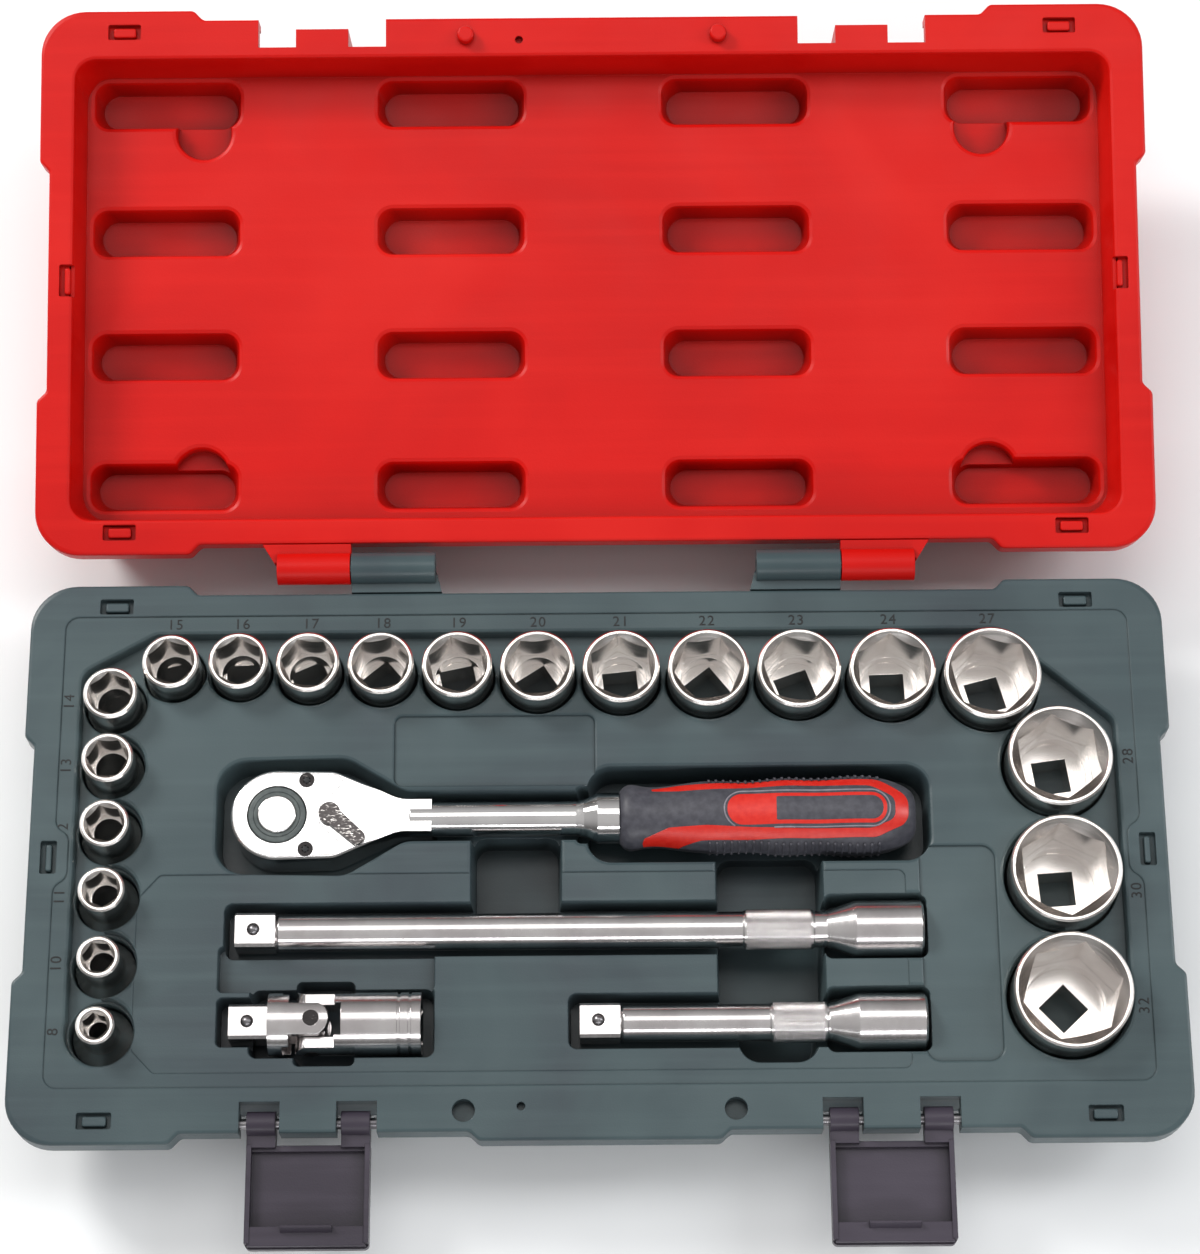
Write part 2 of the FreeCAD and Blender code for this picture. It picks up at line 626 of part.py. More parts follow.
def lid_front_cuts(z0, z1):
    """Notches beside the lid's tongues, and the tongues' shorter ends."""
    edge = HINGE_Y + EDGE_Y
    cuts = []
    for solid in notch_cuts(EDGE_Y, z0, z1):
        solid.translate(V(0, HINGE_Y, 0))
        cuts.append(solid)
    for side in (-1, 1):
        x = side * LATCH_X
        cuts.append(box(x - TONGUE_HALF_WIDTH - 0.5, x + TONGUE_HALF_WIDTH + 0.5,
                        edge - LID_TONGUE_SETBACK, edge + 1, z0, z1))
    return cuts


# ---- cavities of the tray and the liner ------------------------------------------------------
def rim_levels(top, ease):
    """(height, offset) pairs of a rim rounded by ease, which carry on above it."""
    corner = ease * (1 - math.sqrt(0.5))
    return [(top - ease, 0.0), (top - corner, corner), (top, ease), (top + 1, ease)]


def pocket(points, radius, floor, grow, top, ease=EDGE_ROUND, lean=POCKET_LEAN):
    """A pocket as a solid. With grow it's the solid that its walls fill, with them."""
    narrow = lean * (top - floor)
    if grow:
        levels = [(floor - grow, grow - narrow), (top, grow)]
    else:
        levels = [(floor, -narrow)] + rim_levels(top, ease)
    return Part.makeLoft([outline(points, radius, offset, z) for z, offset in levels], True, True)


def well(x, y, radius, floor, grow, top, ease=EDGE_ROUND):
    """A round pocket, as pocket() makes a cornered one."""
    if grow:
        return rod(x, y, floor - grow, radius + grow, top - floor + grow)
    profile = [(0, floor), (radius, floor)]
    profile += [(radius + offset, z) for z, offset in rim_levels(top, ease)]
    return revolve(profile + [(0, top + 1)], V(x, y, 0), "z")


def column(sockets, x, y, gap):
    """Places of a column's sockets, from the rear forwards."""
    places = []
    for i, (size, nose, length) in enumerate(sockets):
        body = max(nose, DRIVE_END_DIAMETER)
        if i:
            y -= (last + body) / 2 + gap
        places.append((size, nose, length, x, y))
        last = body
    return places


def rear_row():
    """Places of the rear row's sockets, whose rear edges are in line."""
    places = []
    x = -TRAY_HALF_X + REAR_ROW_START
    for i, (size, nose, length) in enumerate(REAR_SOCKETS):
        body = max(nose, DRIVE_END_DIAMETER)
        if i:
            x += (last + body) / 2 + SOCKET_SPACING
        places.append((size, nose, length, x, TRAY_REAR_Y - REAR_ROW_MARGIN - body / 2))
        last = body
    return places


def socket_places():
    left = column(LEFT_SOCKETS, -TRAY_HALF_X + LEFT_COLUMN_MARGIN,
                  TRAY_REAR_Y - LEFT_COLUMN_START, SOCKET_SPACING)
    right = column(RIGHT_SOCKETS, TRAY_HALF_X - RIGHT_COLUMN_MARGIN,
                   TRAY_REAR_Y - RIGHT_COLUMN_START, RIGHT_SPACING)
    return left, rear_row(), right


def channel_outline():
    """The lowered channel that joins the sockets' wells: outer wall, then back over the axes."""
    left, rear, right = socket_places()
    outer = [(-TRAY_HALF_X, left[-1][4]), (left[-1][3], left[-1][4])]
    inner = [(x, y) for _, _, _, x, y in left[-2::-1] + rear + right]
    bottom = [(TRAY_HALF_X, right[-1][4]), (TRAY_HALF_X, TRAY_REAR_Y - 36),
              (TRAY_HALF_X - 42, TRAY_REAR_Y)]
    top = [(-TRAY_HALF_X + 27, TRAY_REAR_Y), (-TRAY_HALF_X, TRAY_REAR_Y - 15)]
    return outer + inner + bottom + top


def socket_cavities(grow):
    top = TRAY_FACE
    channel_floor = BASE_HEIGHT - CHANNEL_DEPTH
    left, rear, right = socket_places()
    cavities = [pocket(channel_outline(), 6, channel_floor, grow, top)]
    for _, nose, length, x, y in left + rear + right:
        radius = max(nose, DRIVE_END_DIAMETER) / 2
        floor = RIM_Z - length - REST_GAP
        cavities.append(well(x, y, radius + LOBE_CLEARANCE, channel_floor, grow, top))
        cavities.append(well(x, y, radius + WELL_CLEARANCE, floor, grow, channel_floor, WELL_ROUND))
    return cavities


def ratchet_cavities(grow):
    top = TRAY_FACE
    y = RATCHET_Y
    head_floor = HEAD_BOTTOM - REST_GAP
    neck = SHANK_RADIUS + BAR_POCKET_CLEARANCE
    head = HEAD_RADIUS + 5.4
    grip = GRIP_RADII[-3][1] + 4.0
    neck_end = NECK_X + 14
    head_points = [(HEAD_X - head, y - head + 1), (HEAD_STRAIGHT_X + 4, y - head),
                   (NECK_X + 2, y - neck), (neck_end, y - neck), (neck_end, y + neck),
                   (NECK_X + 2, y + neck), (HEAD_STRAIGHT_X + 4, y + head),
                   (HEAD_X - head, y + head - 1)]
    head_radii = [11, 11, 11, 2, 2, 11, 11, 11]
    shank_floor = SHANK_Z - SHANK_RADIUS - REST_GAP
    ferrule_floor = SHANK_Z - FERRULE_RADIUS - REST_GAP
    grip_floor = SHANK_Z - GRIP_DROP - REST_GAP
    shank = rectangle(neck_end - 4, FERRULE_X, y - neck, y + neck)
    collar = FERRULE_RADIUS + 1.5
    ferrule = rectangle(FERRULE_X - 5, FERRULE_X + FERRULE_LENGTH, y - collar, y + collar)
    handle = rectangle(FERRULE_X - 1, GRIP_END_X + 5, y - grip, y + grip)
    drive_floor = HEAD_BOTTOM - SQUARE_LENGTH - 1
    return [pocket(head_points, head_radii, head_floor, grow, top),
            pocket(shank, 2, shank_floor, grow, top),
            pocket(ferrule, 2, ferrule_floor, grow, top),
            pocket(handle, 9, grip_floor, grow, top),
            well(HEAD_X, y, SQUARE * 0.82, drive_floor, grow, head_floor)]


def bar_cavities(y, length, grow):
    """The pocket of one extension bar: a long slot and a wider end."""
    top = TRAY_FACE
    slot = BAR_RADIUS + KNURL_RAISE + BAR_POCKET_CLEARANCE
    head = BAR_HEAD_RADIUS + HEAD_POCKET_CLEARANCE
    start = BAR_END_X - length - END_CLEARANCE
    head_start = BAR_END_X - BAR_HEAD_LENGTH - BAR_TAPER_LENGTH - 0.5
    slot_floor = BAR_Z - BAR_RADIUS - KNURL_RAISE - REST_GAP
    head_floor = BAR_Z - BAR_HEAD_RADIUS - REST_GAP
    return [pocket(rectangle(start, head_start + 5, y - slot, y + slot), 3, slot_floor, grow, top),
            pocket(rectangle(head_start, BAR_END_X + 1.5, y - head, y + head), 3, head_floor,
                   grow, top)]


def ujoint_cavities(grow):
    """A stepped pocket: the square end, the forks and the socket end."""
    top = TRAY_FACE
    y = UJOINT_Y
    square_half = SQUARE / 2 + 2.6
    body = UJOINT_RADIUS + 1.8
    floor = BAR_Z - UJOINT_RADIUS - REST_GAP
    square_floor = BAR_Z - SQUARE / 2 - REST_GAP
    square = rectangle(UJOINT_X - 4.5, UJOINT_SHOULDER_X - 4, y - square_half, y + square_half)
    forks = rectangle(UJOINT_SHOULDER_X - 7, UJOINT_END_X + 4.5, y - body, y + body)
    fingers = rectangle(UJOINT_PIVOT_X - 6.5, UJOINT_FACE_X - 1, y - body - 3, y + body + 3)
    shallow_floor = BASE_HEIGHT - CHANNEL_DEPTH
    land = rectangle(UJOINT_X - 4.5, UJOINT_END_X + 4.5, y + body - 2, LONG_BAR_Y - 6)
    return [pocket(square, 2, square_floor, grow, top),
            pocket(forks, 3, floor, grow, top),
            pocket(fingers, 2, floor, grow, top),
            pocket(land, 2, shallow_floor, grow, top)]


def finger_cavities(grow):
    """Wells that let a hand reach under the tools."""
    top = TRAY_FACE
    deep = FINGER_FLOOR
    right_well = rectangle(43, 82, SHORT_BAR_Y + 5, RATCHET_Y - 12)
    front_well = rectangle(50, 79, TRAY_FRONT_Y, SHORT_BAR_Y + 12)
    left_well = rectangle(-46.5, -13.5, LONG_BAR_Y + 5, RATCHET_Y - 5)
    return [pocket(right_well, 4, deep, grow, top), pocket(front_well, 8, deep, grow, top),
            pocket(left_well, 4, deep, grow, top)]


def panel_cavities(grow):
    """The tray's shallow steps: its whole face, the bars' field, the label and the side panel."""
    field_front = TRAY_FRONT_Y - 2.5
    field = [(-168, field_front + 8.5), (-160, field_front), (BAR_END_X - 6, field_front),
             (BAR_END_X - 6, RATCHET_Y - 22), (-160, RATCHET_Y - 22), (-168, RATCHET_Y - 31)]
    label = rectangle(-75, -1, RATCHET_Y + 11.5, RATCHET_Y + 38.5)
    side_panel = rectangle(BAR_END_X - 0.5, 145, TRAY_FRONT_Y, RATCHET_Y - 13)
    return [pocket(face_outline(), 5, TRAY_FACE, grow, BASE_HEIGHT, PANEL_STEP * 0.8),
            pocket(field, 3, TRAY_FACE - FIELD_DEPTH, grow, TRAY_FACE, FIELD_DEPTH * 0.8),
            pocket(label, 3, TRAY_FACE - PANEL_DEPTH, grow, TRAY_FACE, PANEL_DEPTH * 0.7),
            pocket(side_panel, 5, TRAY_FACE - PANEL_DEPTH, grow, TRAY_FACE, PANEL_DEPTH * 0.7)]


def face_outline():
    """The tray's face inside its border; it jogs inwards round the side windows."""
    x = TRAY_HALF_X + 7
    jog = TRAY_HALF_X + 2
    front = -FLANGE_HALF_Y + 20.5
    rear = FLANGE_HALF_Y - 12.7
    right = [(x, front), (x, -11), (jog, -8), (jog, 8.5), (x, 11.5), (x, rear)]
    return right + [(-px, py) for px, py in reversed(right)]


def tray_cavities(grow):
    cavities = socket_cavities(grow) + ratchet_cavities(grow) + ujoint_cavities(grow)
    cavities += bar_cavities(LONG_BAR_Y, LONG_BAR_LENGTH, grow)
    cavities += bar_cavities(SHORT_BAR_Y, SHORT_BAR_LENGTH, grow)
    return cavities + finger_cavities(grow) + panel_cavities(grow)


def base_tool_tray():
    plate = flange(SHEET_UNDER, BASE_HEIGHT, 0, True, FLANGE_ROUND)
    body = fuse([plate] + tray_cavities(POCKET_WALL))
    cuts = tray_cavities(0) + window_cuts(SHEET_UNDER, BASE_HEIGHT)
    cuts += notch_cuts(-EDGE_Y, SHEET_UNDER, BASE_HEIGHT) + peg_recesses(SHEET_UNDER)
    cuts.append(rod(VENT_X, -FLANGE_HALF_Y + PEG_FROM_EDGE + 1.4, SHEET_UNDER, VENT_RADIUS, SHEET))
    return cut(body, cuts)


def liner_cavities(grow):
    """The lid's recess and its slots for small tools, in the lid's own frame."""
    top = -PARTING_GAP / 2
    floor = top - LINER_DEPTH
    near = HINGE_Y - TRAY_REAR_Y - 6.2
    far = HINGE_Y + EDGE_Y - 15.5
    half_x = TRAY_HALF_X + 7
    recess = rectangle(-half_x, half_x, near, far)
    cavities = [pocket(recess, 8, floor, grow, top, EDGE_ROUND, LINER_LEAN * 0.8)]
    for x in LINER_SLOT_X:
        for y in LINER_SLOT_Y:
            for side in (-1, 1):
                middle = side * x
                slot = rectangle(middle - LINER_SLOT_LONG / 2, middle + LINER_SLOT_LONG / 2,
                                 y - LINER_SLOT_WIDE / 2, y + LINER_SLOT_WIDE / 2)
                cavities.append(pocket(slot, 5.5, floor - LINER_SLOT_DEPTH, grow, floor,
                                       LINER_ROUND, LINER_LEAN))
    for y in LINER_ROUND_Y:
        for side in (-1, 1):
            cavities.append(well(side * LINER_ROUND_X, y, LINER_ROUND_RADIUS,
                                 floor - LINER_ROUND_DEPTH, grow, floor, LINER_ROUND))
    return cavities


def lid_inner_liner():
    face = -PARTING_GAP / 2
    plate = flange(face - SHEET, face, 0, False, FLANGE_ROUND)
    plate.translate(V(0, HINGE_Y, 0))
    pegs = [rod(side * PEG_X, HINGE_Y + FLANGE_HALF_Y - PEG_FROM_EDGE, face - SHEET, PEG_RADIUS,
                SHEET + PEG_LENGTH) for side in (-1, 1)]
    pegs = [peg.makeFillet(1.0, [e for e in peg.Edges if e.BoundBox.ZMin > face + 1])
            for peg in pegs]
    body = fuse([plate] + pegs + liner_cavities(POCKET_WALL))
    holes = window_cuts(face - SHEET, face)
    holes.append(rod(VENT_X, FLANGE_HALF_Y - PEG_FROM_EDGE - 1.4, face - SHEET, VENT_RADIUS,
                     SHEET))
    for hole in holes:
        hole.translate(V(0, HINGE_Y, 0))
    return lid_place(cut(body, liner_cavities(0) + holes + lid_front_cuts(face - SHEET, face)))


# ---- hinge pins, latches --------------------------------------------------------------------
def hinge_pin(side):
    x0 = KNUCKLE_INNER_X + 0.5
    x1 = KNUCKLE_OUTER_X - 0.5
    pin = rod(min(side * x0, side * x1), HINGE_Y, HINGE_Z, HINGE_PIN_RADIUS, x1 - x0, "x")
    return pin.makeChamfer(0.4, pin.Edges[0:1] + pin.Edges[2:3])


def latch_pin(side):
    half = NOTCH_HALF_WIDTH + BOSS_WIDTH - 1.5
    return rod(side * LATCH_X - half, LATCH_Y, LATCH_Z, LATCH_PIN_RADIUS, 2 * half, "x")


def latch(side):
    """A latch lying open: its plate runs forwards from the pin, with its inner face up."""
    x = side * LATCH_X
    half = LATCH_HALF_WIDTH
    under = LATCH_Z - LATCH_THICKNESS
    plate_top = under + LATCH_PLATE
    front = LATCH_Y - LATCH_LENGTH
    back = LATCH_Y - LATCH_START
    plate = prism(rectangle(x - half, x + half, front, back), under, plate_top, 2)
    hook_back = LATCH_Y - LATCH_REACH
    lip = box(x - half + 1, x + half - 1, front + 0.6, hook_back, under, LATCH_Z + 1.0)
    hook_front = hook_back - HOOK_THICK
    profile = [V(0, hook_back, under), V(0, hook_back, LATCH_Z + HOOK_RAISE),
               V(0, hook_back - 0.8, LATCH_Z + HOOK_RAISE), V(0, hook_front, LATCH_Z + 0.8),
               V(0, hook_front, under)]
    face = Part.Face(Part.makePolygon(profile + [profile[0]]))
    hook_half = TONGUE_HALF_WIDTH - 1
    hook = face.extrude(V(2 * hook_half, 0, 0))
    hook.translate(V(x - hook_half, 0, 0))
    bar = box(x - half, x + half, back - 2.2, back, under, LATCH_Z - 0.6)
    pieces = [plate, lip, hook, bar]
    for flank in (-1, 1):
        inner = TONGUE_HALF_WIDTH + 1.6
        x0, x1 = sorted((x + flank * inner, x + flank * half))
        pieces.append(rod(x0, LATCH_Y, LATCH_Z, LATCH_EAR_RADIUS, x1 - x0, "x"))
        pieces.append(box(x0, x1, back - 1, LATCH_Y, under + 1.6, LATCH_Z + 1.2))
        w0, w1 = sorted((x + flank * (half - LATCH_WALL), x + flank * half))
        pieces.append(box(w0, w1, front + 1.5, back, under + 1, LATCH_Z + 1.4))
    bore = rod(x - half - 1, LATCH_Y, LATCH_Z, LATCH_PIN_RADIUS + RUNNING, 2 * half + 2, "x")
    return cut(fuse(pieces), bore)


# ---- sockets --------------------------------------------------------------------------------
def hex_depth(size, length):
    return min(8.0 + 0.5 * size, length - SQUARE_DEPTH - 2.0)


def socket(size, nose, length, x, y):
    """One six-point socket, mouth up, with its square drive hole in the lower end."""
    top = RIM_Z
    foot = top - length
    c = SOCKET_CHAMFER
    r = nose / 2
    end = max(nose, DRIVE_END_DIAMETER) / 2
    profile = [(0, 0), (end - c, 0), (end, c)]
    if end > r + 0.3:
        step = length - NOSE_LENGTH
        profile += [(end, step - (end - r) * 1.1), (r, step), (r, length - c)]
    else:
        profile += [(r, length - c)]
    profile += [(r - c, length), (0, length)]
    body = revolve(profile, V(x, y, foot), "z")
    flats = size + 2 * HEX_CLEARANCE
    depth = hex_depth(size, length)
    hole = hexagon(flats, x, y, top - depth, top + 1)
    relief_foot = foot + SQUARE_DEPTH - 2
    relief = rod(x, y, relief_foot, min(flats * RELIEF_SHARE, r - 2.4),
                 top - depth - relief_foot + 1)
    mouth = r - RIM_LAND
    lead_depth = (mouth - flats / 2) * LEAD_SLOPE
    lead = Part.makeCone(flats / 2, mouth + 0.2 / LEAD_SLOPE, lead_depth + 0.2,
                         V(x, y, top - lead_depth))
    half = SQUARE / 2 + SQUARE_CLEARANCE
    drive = box(x - half, x + half, y - half, y + half, foot - 1, foot + SQUARE_DEPTH)
    shape = cut(body, [hole, relief, lead, drive])
    shape.rotate(V(x, y, 0), V(0, 0, 1), SOCKET_TURNS[size])
    return shape


# ---- ratchet --------------------------------------------------------------------------------
def head_outline():
    """The head's plan without its round end: it narrows from the drive towards the neck."""
    y = RATCHET_Y
    wide = HEAD_RADIUS - 0.5
    slim = SHANK_RADIUS - 0.4
    end = NECK_X + NECK_LENGTH
    return [(HEAD_X, y - HEAD_RADIUS), (HEAD_STRAIGHT_X, y - wide), (NECK_X, y - slim),
            (end, y - slim), (end, y + slim), (NECK_X, y + slim),
            (HEAD_STRAIGHT_X, y + wide), (HEAD_X, y + HEAD_RADIUS)]


def cover_solid(z0, z1, grow):
    """The cover's plan as a solid: a round end over the drive, and two horns at the lever."""
    y = RATCHET_Y
    wide = HEAD_RADIUS - COVER_INSET
    plan = [(HEAD_X, y - wide), (COVER_END_X - 3, y - wide + 0.8), (COVER_END_X, y - wide + 3.5),
            (COVER_WAIST_X, y - 2), (COVER_WAIST_X, y + 2), (COVER_END_X, y + wide - 3.5),
            (COVER_END_X - 3, y + wide - 0.8), (HEAD_X, y + wide)]
    radii = [0, 2, 2, 3, 3, 2, 2, 0]
    return fuse([rod(HEAD_X, y, z0, wide + grow, z1 - z0), prism(plan, z0, z1, radii, grow)])


def slope_cut(start_x, face_z, shank_z):
    """A wedge that takes the head's face down to the shank's along the neck."""
    away = math.copysign(12, face_z - shank_z)
    end = NECK_X + NECK_LENGTH + 1
    points = [V(start_x, 0, face_z), V(NECK_X + 4, 0, shank_z), V(end, 0, shank_z),
              V(end, 0, face_z + away), V(start_x, 0, face_z + away)]
    wide = 2 * HEAD_RADIUS + 4
    wedge = Part.Face(Part.makePolygon(points + [points[0]])).extrude(V(0, wide, 0))
    wedge.translate(V(0, RATCHET_Y - wide / 2, 0))
    return wedge


def ratchet_body():
    y = RATCHET_Y
    plan = prism(head_outline(), HEAD_BOTTOM, HEAD_TOP, [0, 9, 14, 0, 0, 14, 9, 0])
    head = fuse([rod(HEAD_X, y, HEAD_BOTTOM, HEAD_RADIUS, HEAD_HEIGHT), plan])
    slim = SHANK_RADIUS - 0.4
    head = cut(head, [slope_cut(HEAD_STRAIGHT_X + 10, HEAD_TOP, SHANK_Z + slim),
                      slope_cut(HEAD_STRAIGHT_X + 4, HEAD_BOTTOM, SHANK_Z - slim)])
    rims = [e for e in head.Edges if on_level(e, HEAD_TOP) or on_level(e, HEAD_BOTTOM)]
    head = head.makeChamfer(HEAD_CHAMFER, rims)
    tang_end = GRIP_END_X - 18
    shank = revolve([(0, NECK_X), (SHANK_RADIUS, NECK_X + 4), (SHANK_RADIUS, FERRULE_X - 5),
                     (SHANK_RADIUS + 0.7, FERRULE_X - 2), (FERRULE_RADIUS, FERRULE_X + 3),
                     (FERRULE_RADIUS, FERRULE_X + FERRULE_LENGTH),
                     (TANG_RADIUS, FERRULE_X + FERRULE_LENGTH), (TANG_RADIUS, tang_end),
                     (0, tang_end)], V(0, y, SHANK_Z), "x")
    body = fuse([head, shank])
    seat = HEAD_TOP - COVER_THICKNESS
    gear_floor = HEAD_BOTTOM + LOWER_LAND
    cuts = [cover_solid(seat, HEAD_TOP + 1, COVER_GAP),
            rod(HEAD_X, y, gear_floor, GEAR_RADIUS + GEAR_CLEARANCE, HEAD_HEIGHT),
            rod(HEAD_X, y, HEAD_BOTTOM - 1, JOURNAL_RADIUS + RUNNING, HEAD_HEIGHT),
            rod(LEVER_X, y, gear_floor, 7.2, seat - gear_floor),
            box(HEAD_X + 8, LEVER_X, y - 8.4, y + 8.4, gear_floor, seat),
            rod(LEVER_X, y, HEAD_BOTTOM + 1.5, LEVER_SHAFT_RADIUS + RUNNING, HEAD_HEIGHT)]
    for s in (-1, 1):
        screw_y = y + s * SCREW_OFFSET_Y
        cuts.append(rod(SCREW_X, screw_y, SHANK_Z, SCREW_RADIUS + SEATED, HEAD_HEIGHT))
        cuts.append(rod(SCREW_X, screw_y, HEAD_TOP - 1.2, SCREW_HEAD_RADIUS + SEATED, 9))
    return cut(body, cuts)


def on_level(edge, z):
    bounds = edge.BoundBox
    return abs(bounds.ZMin - z) < 1e-6 and abs(bounds.ZMax - z) < 1e-6


def ratchet_cover_plate():
    y = RATCHET_Y
    seat = HEAD_TOP - COVER_THICKNESS
    holes = [rod(HEAD_X, y, seat - 1, JOURNAL_RADIUS + 0.4, 9)]
    for s in (-1, 1):
        holes.append(rod(SCREW_X, y + s * SCREW_OFFSET_Y, seat - 1, SCREW_RADIUS + SEATED, 9))
        holes.append(rod(SCREW_X, y + s * SCREW_OFFSET_Y, HEAD_TOP - 1.2,
                         SCREW_HEAD_RADIUS + SEATED, 9))
    return cut(cover_solid(seat, HEAD_TOP, 0), holes)


def ratchet_cover_screws():
    screws = []
    for s in (-1, 1):
        y = RATCHET_Y + s * SCREW_OFFSET_Y
        screw = fuse([rod(SCREW_X, y, HEAD_TOP - 1.2, SCREW_HEAD_RADIUS, 1.2),
                      rod(SCREW_X, y, SHANK_Z + 0.5, SCREW_RADIUS, HEAD_TOP - SHANK_Z - 1.2)])
        screws.append(cut(screw, hexagon(2.5, SCREW_X, y, HEAD_TOP - 0.9, HEAD_TOP + 1)))
    return Part.makeCompound(screws)


def ratchet_gear():
    """The toothed drive: two journals, the teeth between them and the square below."""
    y = RATCHET_Y
    foot = HEAD_BOTTOM + LOWER_LAND + 0.3
    teeth = []
    for k in range(2 * GEAR_TEETH):
        r = GEAR_RADIUS - (k % 2) * TOOTH_DEPTH
        a = math.pi * k / GEAR_TEETH
        teeth.append((HEAD_X + r * math.cos(a), y + r * math.sin(a)))
    top = HEAD_TOP + 0.2
    toothed = prism(teeth, foot, foot + GEAR_HEIGHT)
    journal = rod(HEAD_X, y, HEAD_BOTTOM - 0.4, JOURNAL_RADIUS, top - HEAD_BOTTOM + 0.4)
    half = SQUARE / 2
    drive = box(HEAD_X - half, HEAD_X + half, y - half, y + half, HEAD_BOTTOM - SQUARE_LENGTH,
                HEAD_BOTTOM)
    upright = [e for e in drive.Edges if abs(e.Length - SQUARE_LENGTH) < 1e-6]
    drive = drive.makeChamfer(1.1, upright)
    gear = fuse([toothed, journal, drive])
    seat = top - SEAL_WIDTH
    well_floor = top - BUTTON_HEIGHT - BUTTON_TRAVEL - BUTTON_SPRING_ROOM
    cuts = [rod(HEAD_X, y, seat, JOURNAL_RADIUS + 1, 9),
            rod(HEAD_X, y, well_floor, BUTTON_RADIUS + RUNNING, 20),
            rod(HEAD_X, y, BALL_LEVEL - 5.2, ROD_RADIUS + RUNNING, 30),
            rod(HEAD_X, y - half - 1, BALL_LEVEL, DRIVE_BALL_RADIUS + RUNNING, half + 1, "y")]
    gear = cut(gear, cuts)
    collar = cut(rod(HEAD_X, y, seat - 0.01, BUTTON_RADIUS + 1.4, SEAL_WIDTH + 0.01),
                 rod(HEAD_X, y, seat - 1, BUTTON_RADIUS + RUNNING, 9))
    return fuse([gear, collar])


def ratchet_seal_ring():
    """The dark ring round the push button, seated on the gear's upper journal."""
    top = HEAD_TOP + 0.2
    seat = top - SEAL_WIDTH
    ring = cut(rod(HEAD_X, RATCHET_Y, seat, JOURNAL_RADIUS, SEAL_WIDTH),
               rod(HEAD_X, RATCHET_Y, seat - 1, BUTTON_RADIUS + 1.4 + SEATED, 9))
    return ring.makeFillet(0.4, [e for e in ring.Edges if e.BoundBox.ZMin > top - 0.01])


def quick_release_button():
    """A push disc whose rod holds the drive's ball out; pressed, its neck frees the ball."""
    y = RATCHET_Y
    top = HEAD_TOP + 0.2 + BUTTON_PROUD
    disc = rod(HEAD_X, y, top - BUTTON_HEIGHT, BUTTON_RADIUS, BUTTON_HEIGHT)
    disc = disc.makeFillet(0.6, [e for e in disc.Edges if e.BoundBox.ZMin > top - 0.01])
    stem_foot = BALL_LEVEL - 1.6
    stem = rod(HEAD_X, y, stem_foot, ROD_RADIUS, top - BUTTON_HEIGHT - stem_foot)
    neck_middle = BALL_LEVEL + BUTTON_TRAVEL
    neck_space = cut(rod(HEAD_X, y, neck_middle - ROD_NECK_HALF, ROD_RADIUS + 1, 2 * ROD_NECK_HALF),
                     rod(HEAD_X, y, neck_middle - ROD_NECK_HALF - 1, ROD_NECK_RADIUS,
                         2 * ROD_NECK_HALF + 2))
    return cut(fuse([disc, stem]), neck_space)


def quick_release_spring():
    gear_top = HEAD_TOP + 0.2
    foot = gear_top - BUTTON_HEIGHT - BUTTON_TRAVEL - BUTTON_SPRING_ROOM
    height = gear_top + BUTTON_PROUD - BUTTON_HEIGHT - foot
    return coil(HEAD_X, RATCHET_Y, foot, 5.0, 0.4, height, 2.5)


def ratchet_drive_ball():
    out = SQUARE / 2 + DRIVE_BALL_PROUD - DRIVE_BALL_RADIUS
    return Part.makeSphere(DRIVE_BALL_RADIUS, V(HEAD_X, RATCHET_Y - out, BALL_LEVEL))


def reversing_lever():
    """The direction lever: a thumb arm on the cover and a shaft through the pawl."""
    y = RATCHET_Y
    z0 = HEAD_TOP + 0.15
    hub = rod(LEVER_X, y, z0, LEVER_HUB_RADIUS, LEVER_THICKNESS)
    w = 2.6
    arm = prism([(LEVER_X, y - 3.2), (LEVER_X + LEVER_REACH, y - w), (LEVER_X + LEVER_REACH, y + w),
                 (LEVER_X, y + 3.2)], z0, z0 + LEVER_THICKNESS, [0.1, 2.2, 2.2, 0.1])
    arm.rotate(V(LEVER_X, y, 0), V(0, 0, 1), LEVER_REST_ANGLE)
    shaft_foot = HEAD_BOTTOM + 1.8
    shaft = rod(LEVER_X, y, shaft_foot, LEVER_SHAFT_RADIUS, z0 - shaft_foot + 0.5)
    return fuse([hub, arm, shaft])


def ratchet_pawl():
    """A rocking pawl on the lever's shaft; its hollow face follows the gear."""
    y = RATCHET_Y
    z0 = HEAD_BOTTOM + LOWER_LAND + 0.4
    z1 = HEAD_TOP - COVER_THICKNESS - 0.3
    blank = fuse([rod(LEVER_X, y, z0, 4.6, z1 - z0),
                  box(LEVER_X - 9.5, LEVER_X, y - PAWL_HALF_WIDTH, y + PAWL_HALF_WIDTH, z0, z1)])
    reach = GEAR_RADIUS + PAWL_GAP + PAWL_HALF_WIDTH * math.sin(math.radians(PAWL_SWING)) + 0.25
    blank = cut(blank, [rod(HEAD_X, y, z0 - 1, reach, z1 - z0 + 2),
                        rod(LEVER_X, y, z0 - 1, LEVER_SHAFT_RADIUS + RUNNING, z1 - z0 + 2)])
    blank.rotate(V(LEVER_X, y, 0), V(0, 0, 1), -PAWL_SWING)
    return blank


def grip_solid():
    """The whole grip, as a loft through ovals."""
    rings = []
    for x, r in GRIP_RADII:
        ring = Part.Ellipse(V(0, 0, 0), r, r * GRIP_FLATNESS).toShape()
        ring.rotate(V(0, 0, 0), V(0, 0, 1), 90)
        ring.rotate(V(0, 0, 0), V(0, 1, 0), 90)
        ring.translate(V(x, RATCHET_Y, SHANK_Z))
        rings.append(Part.Wire(ring))
    return Part.makeLoft(rings, True, False)


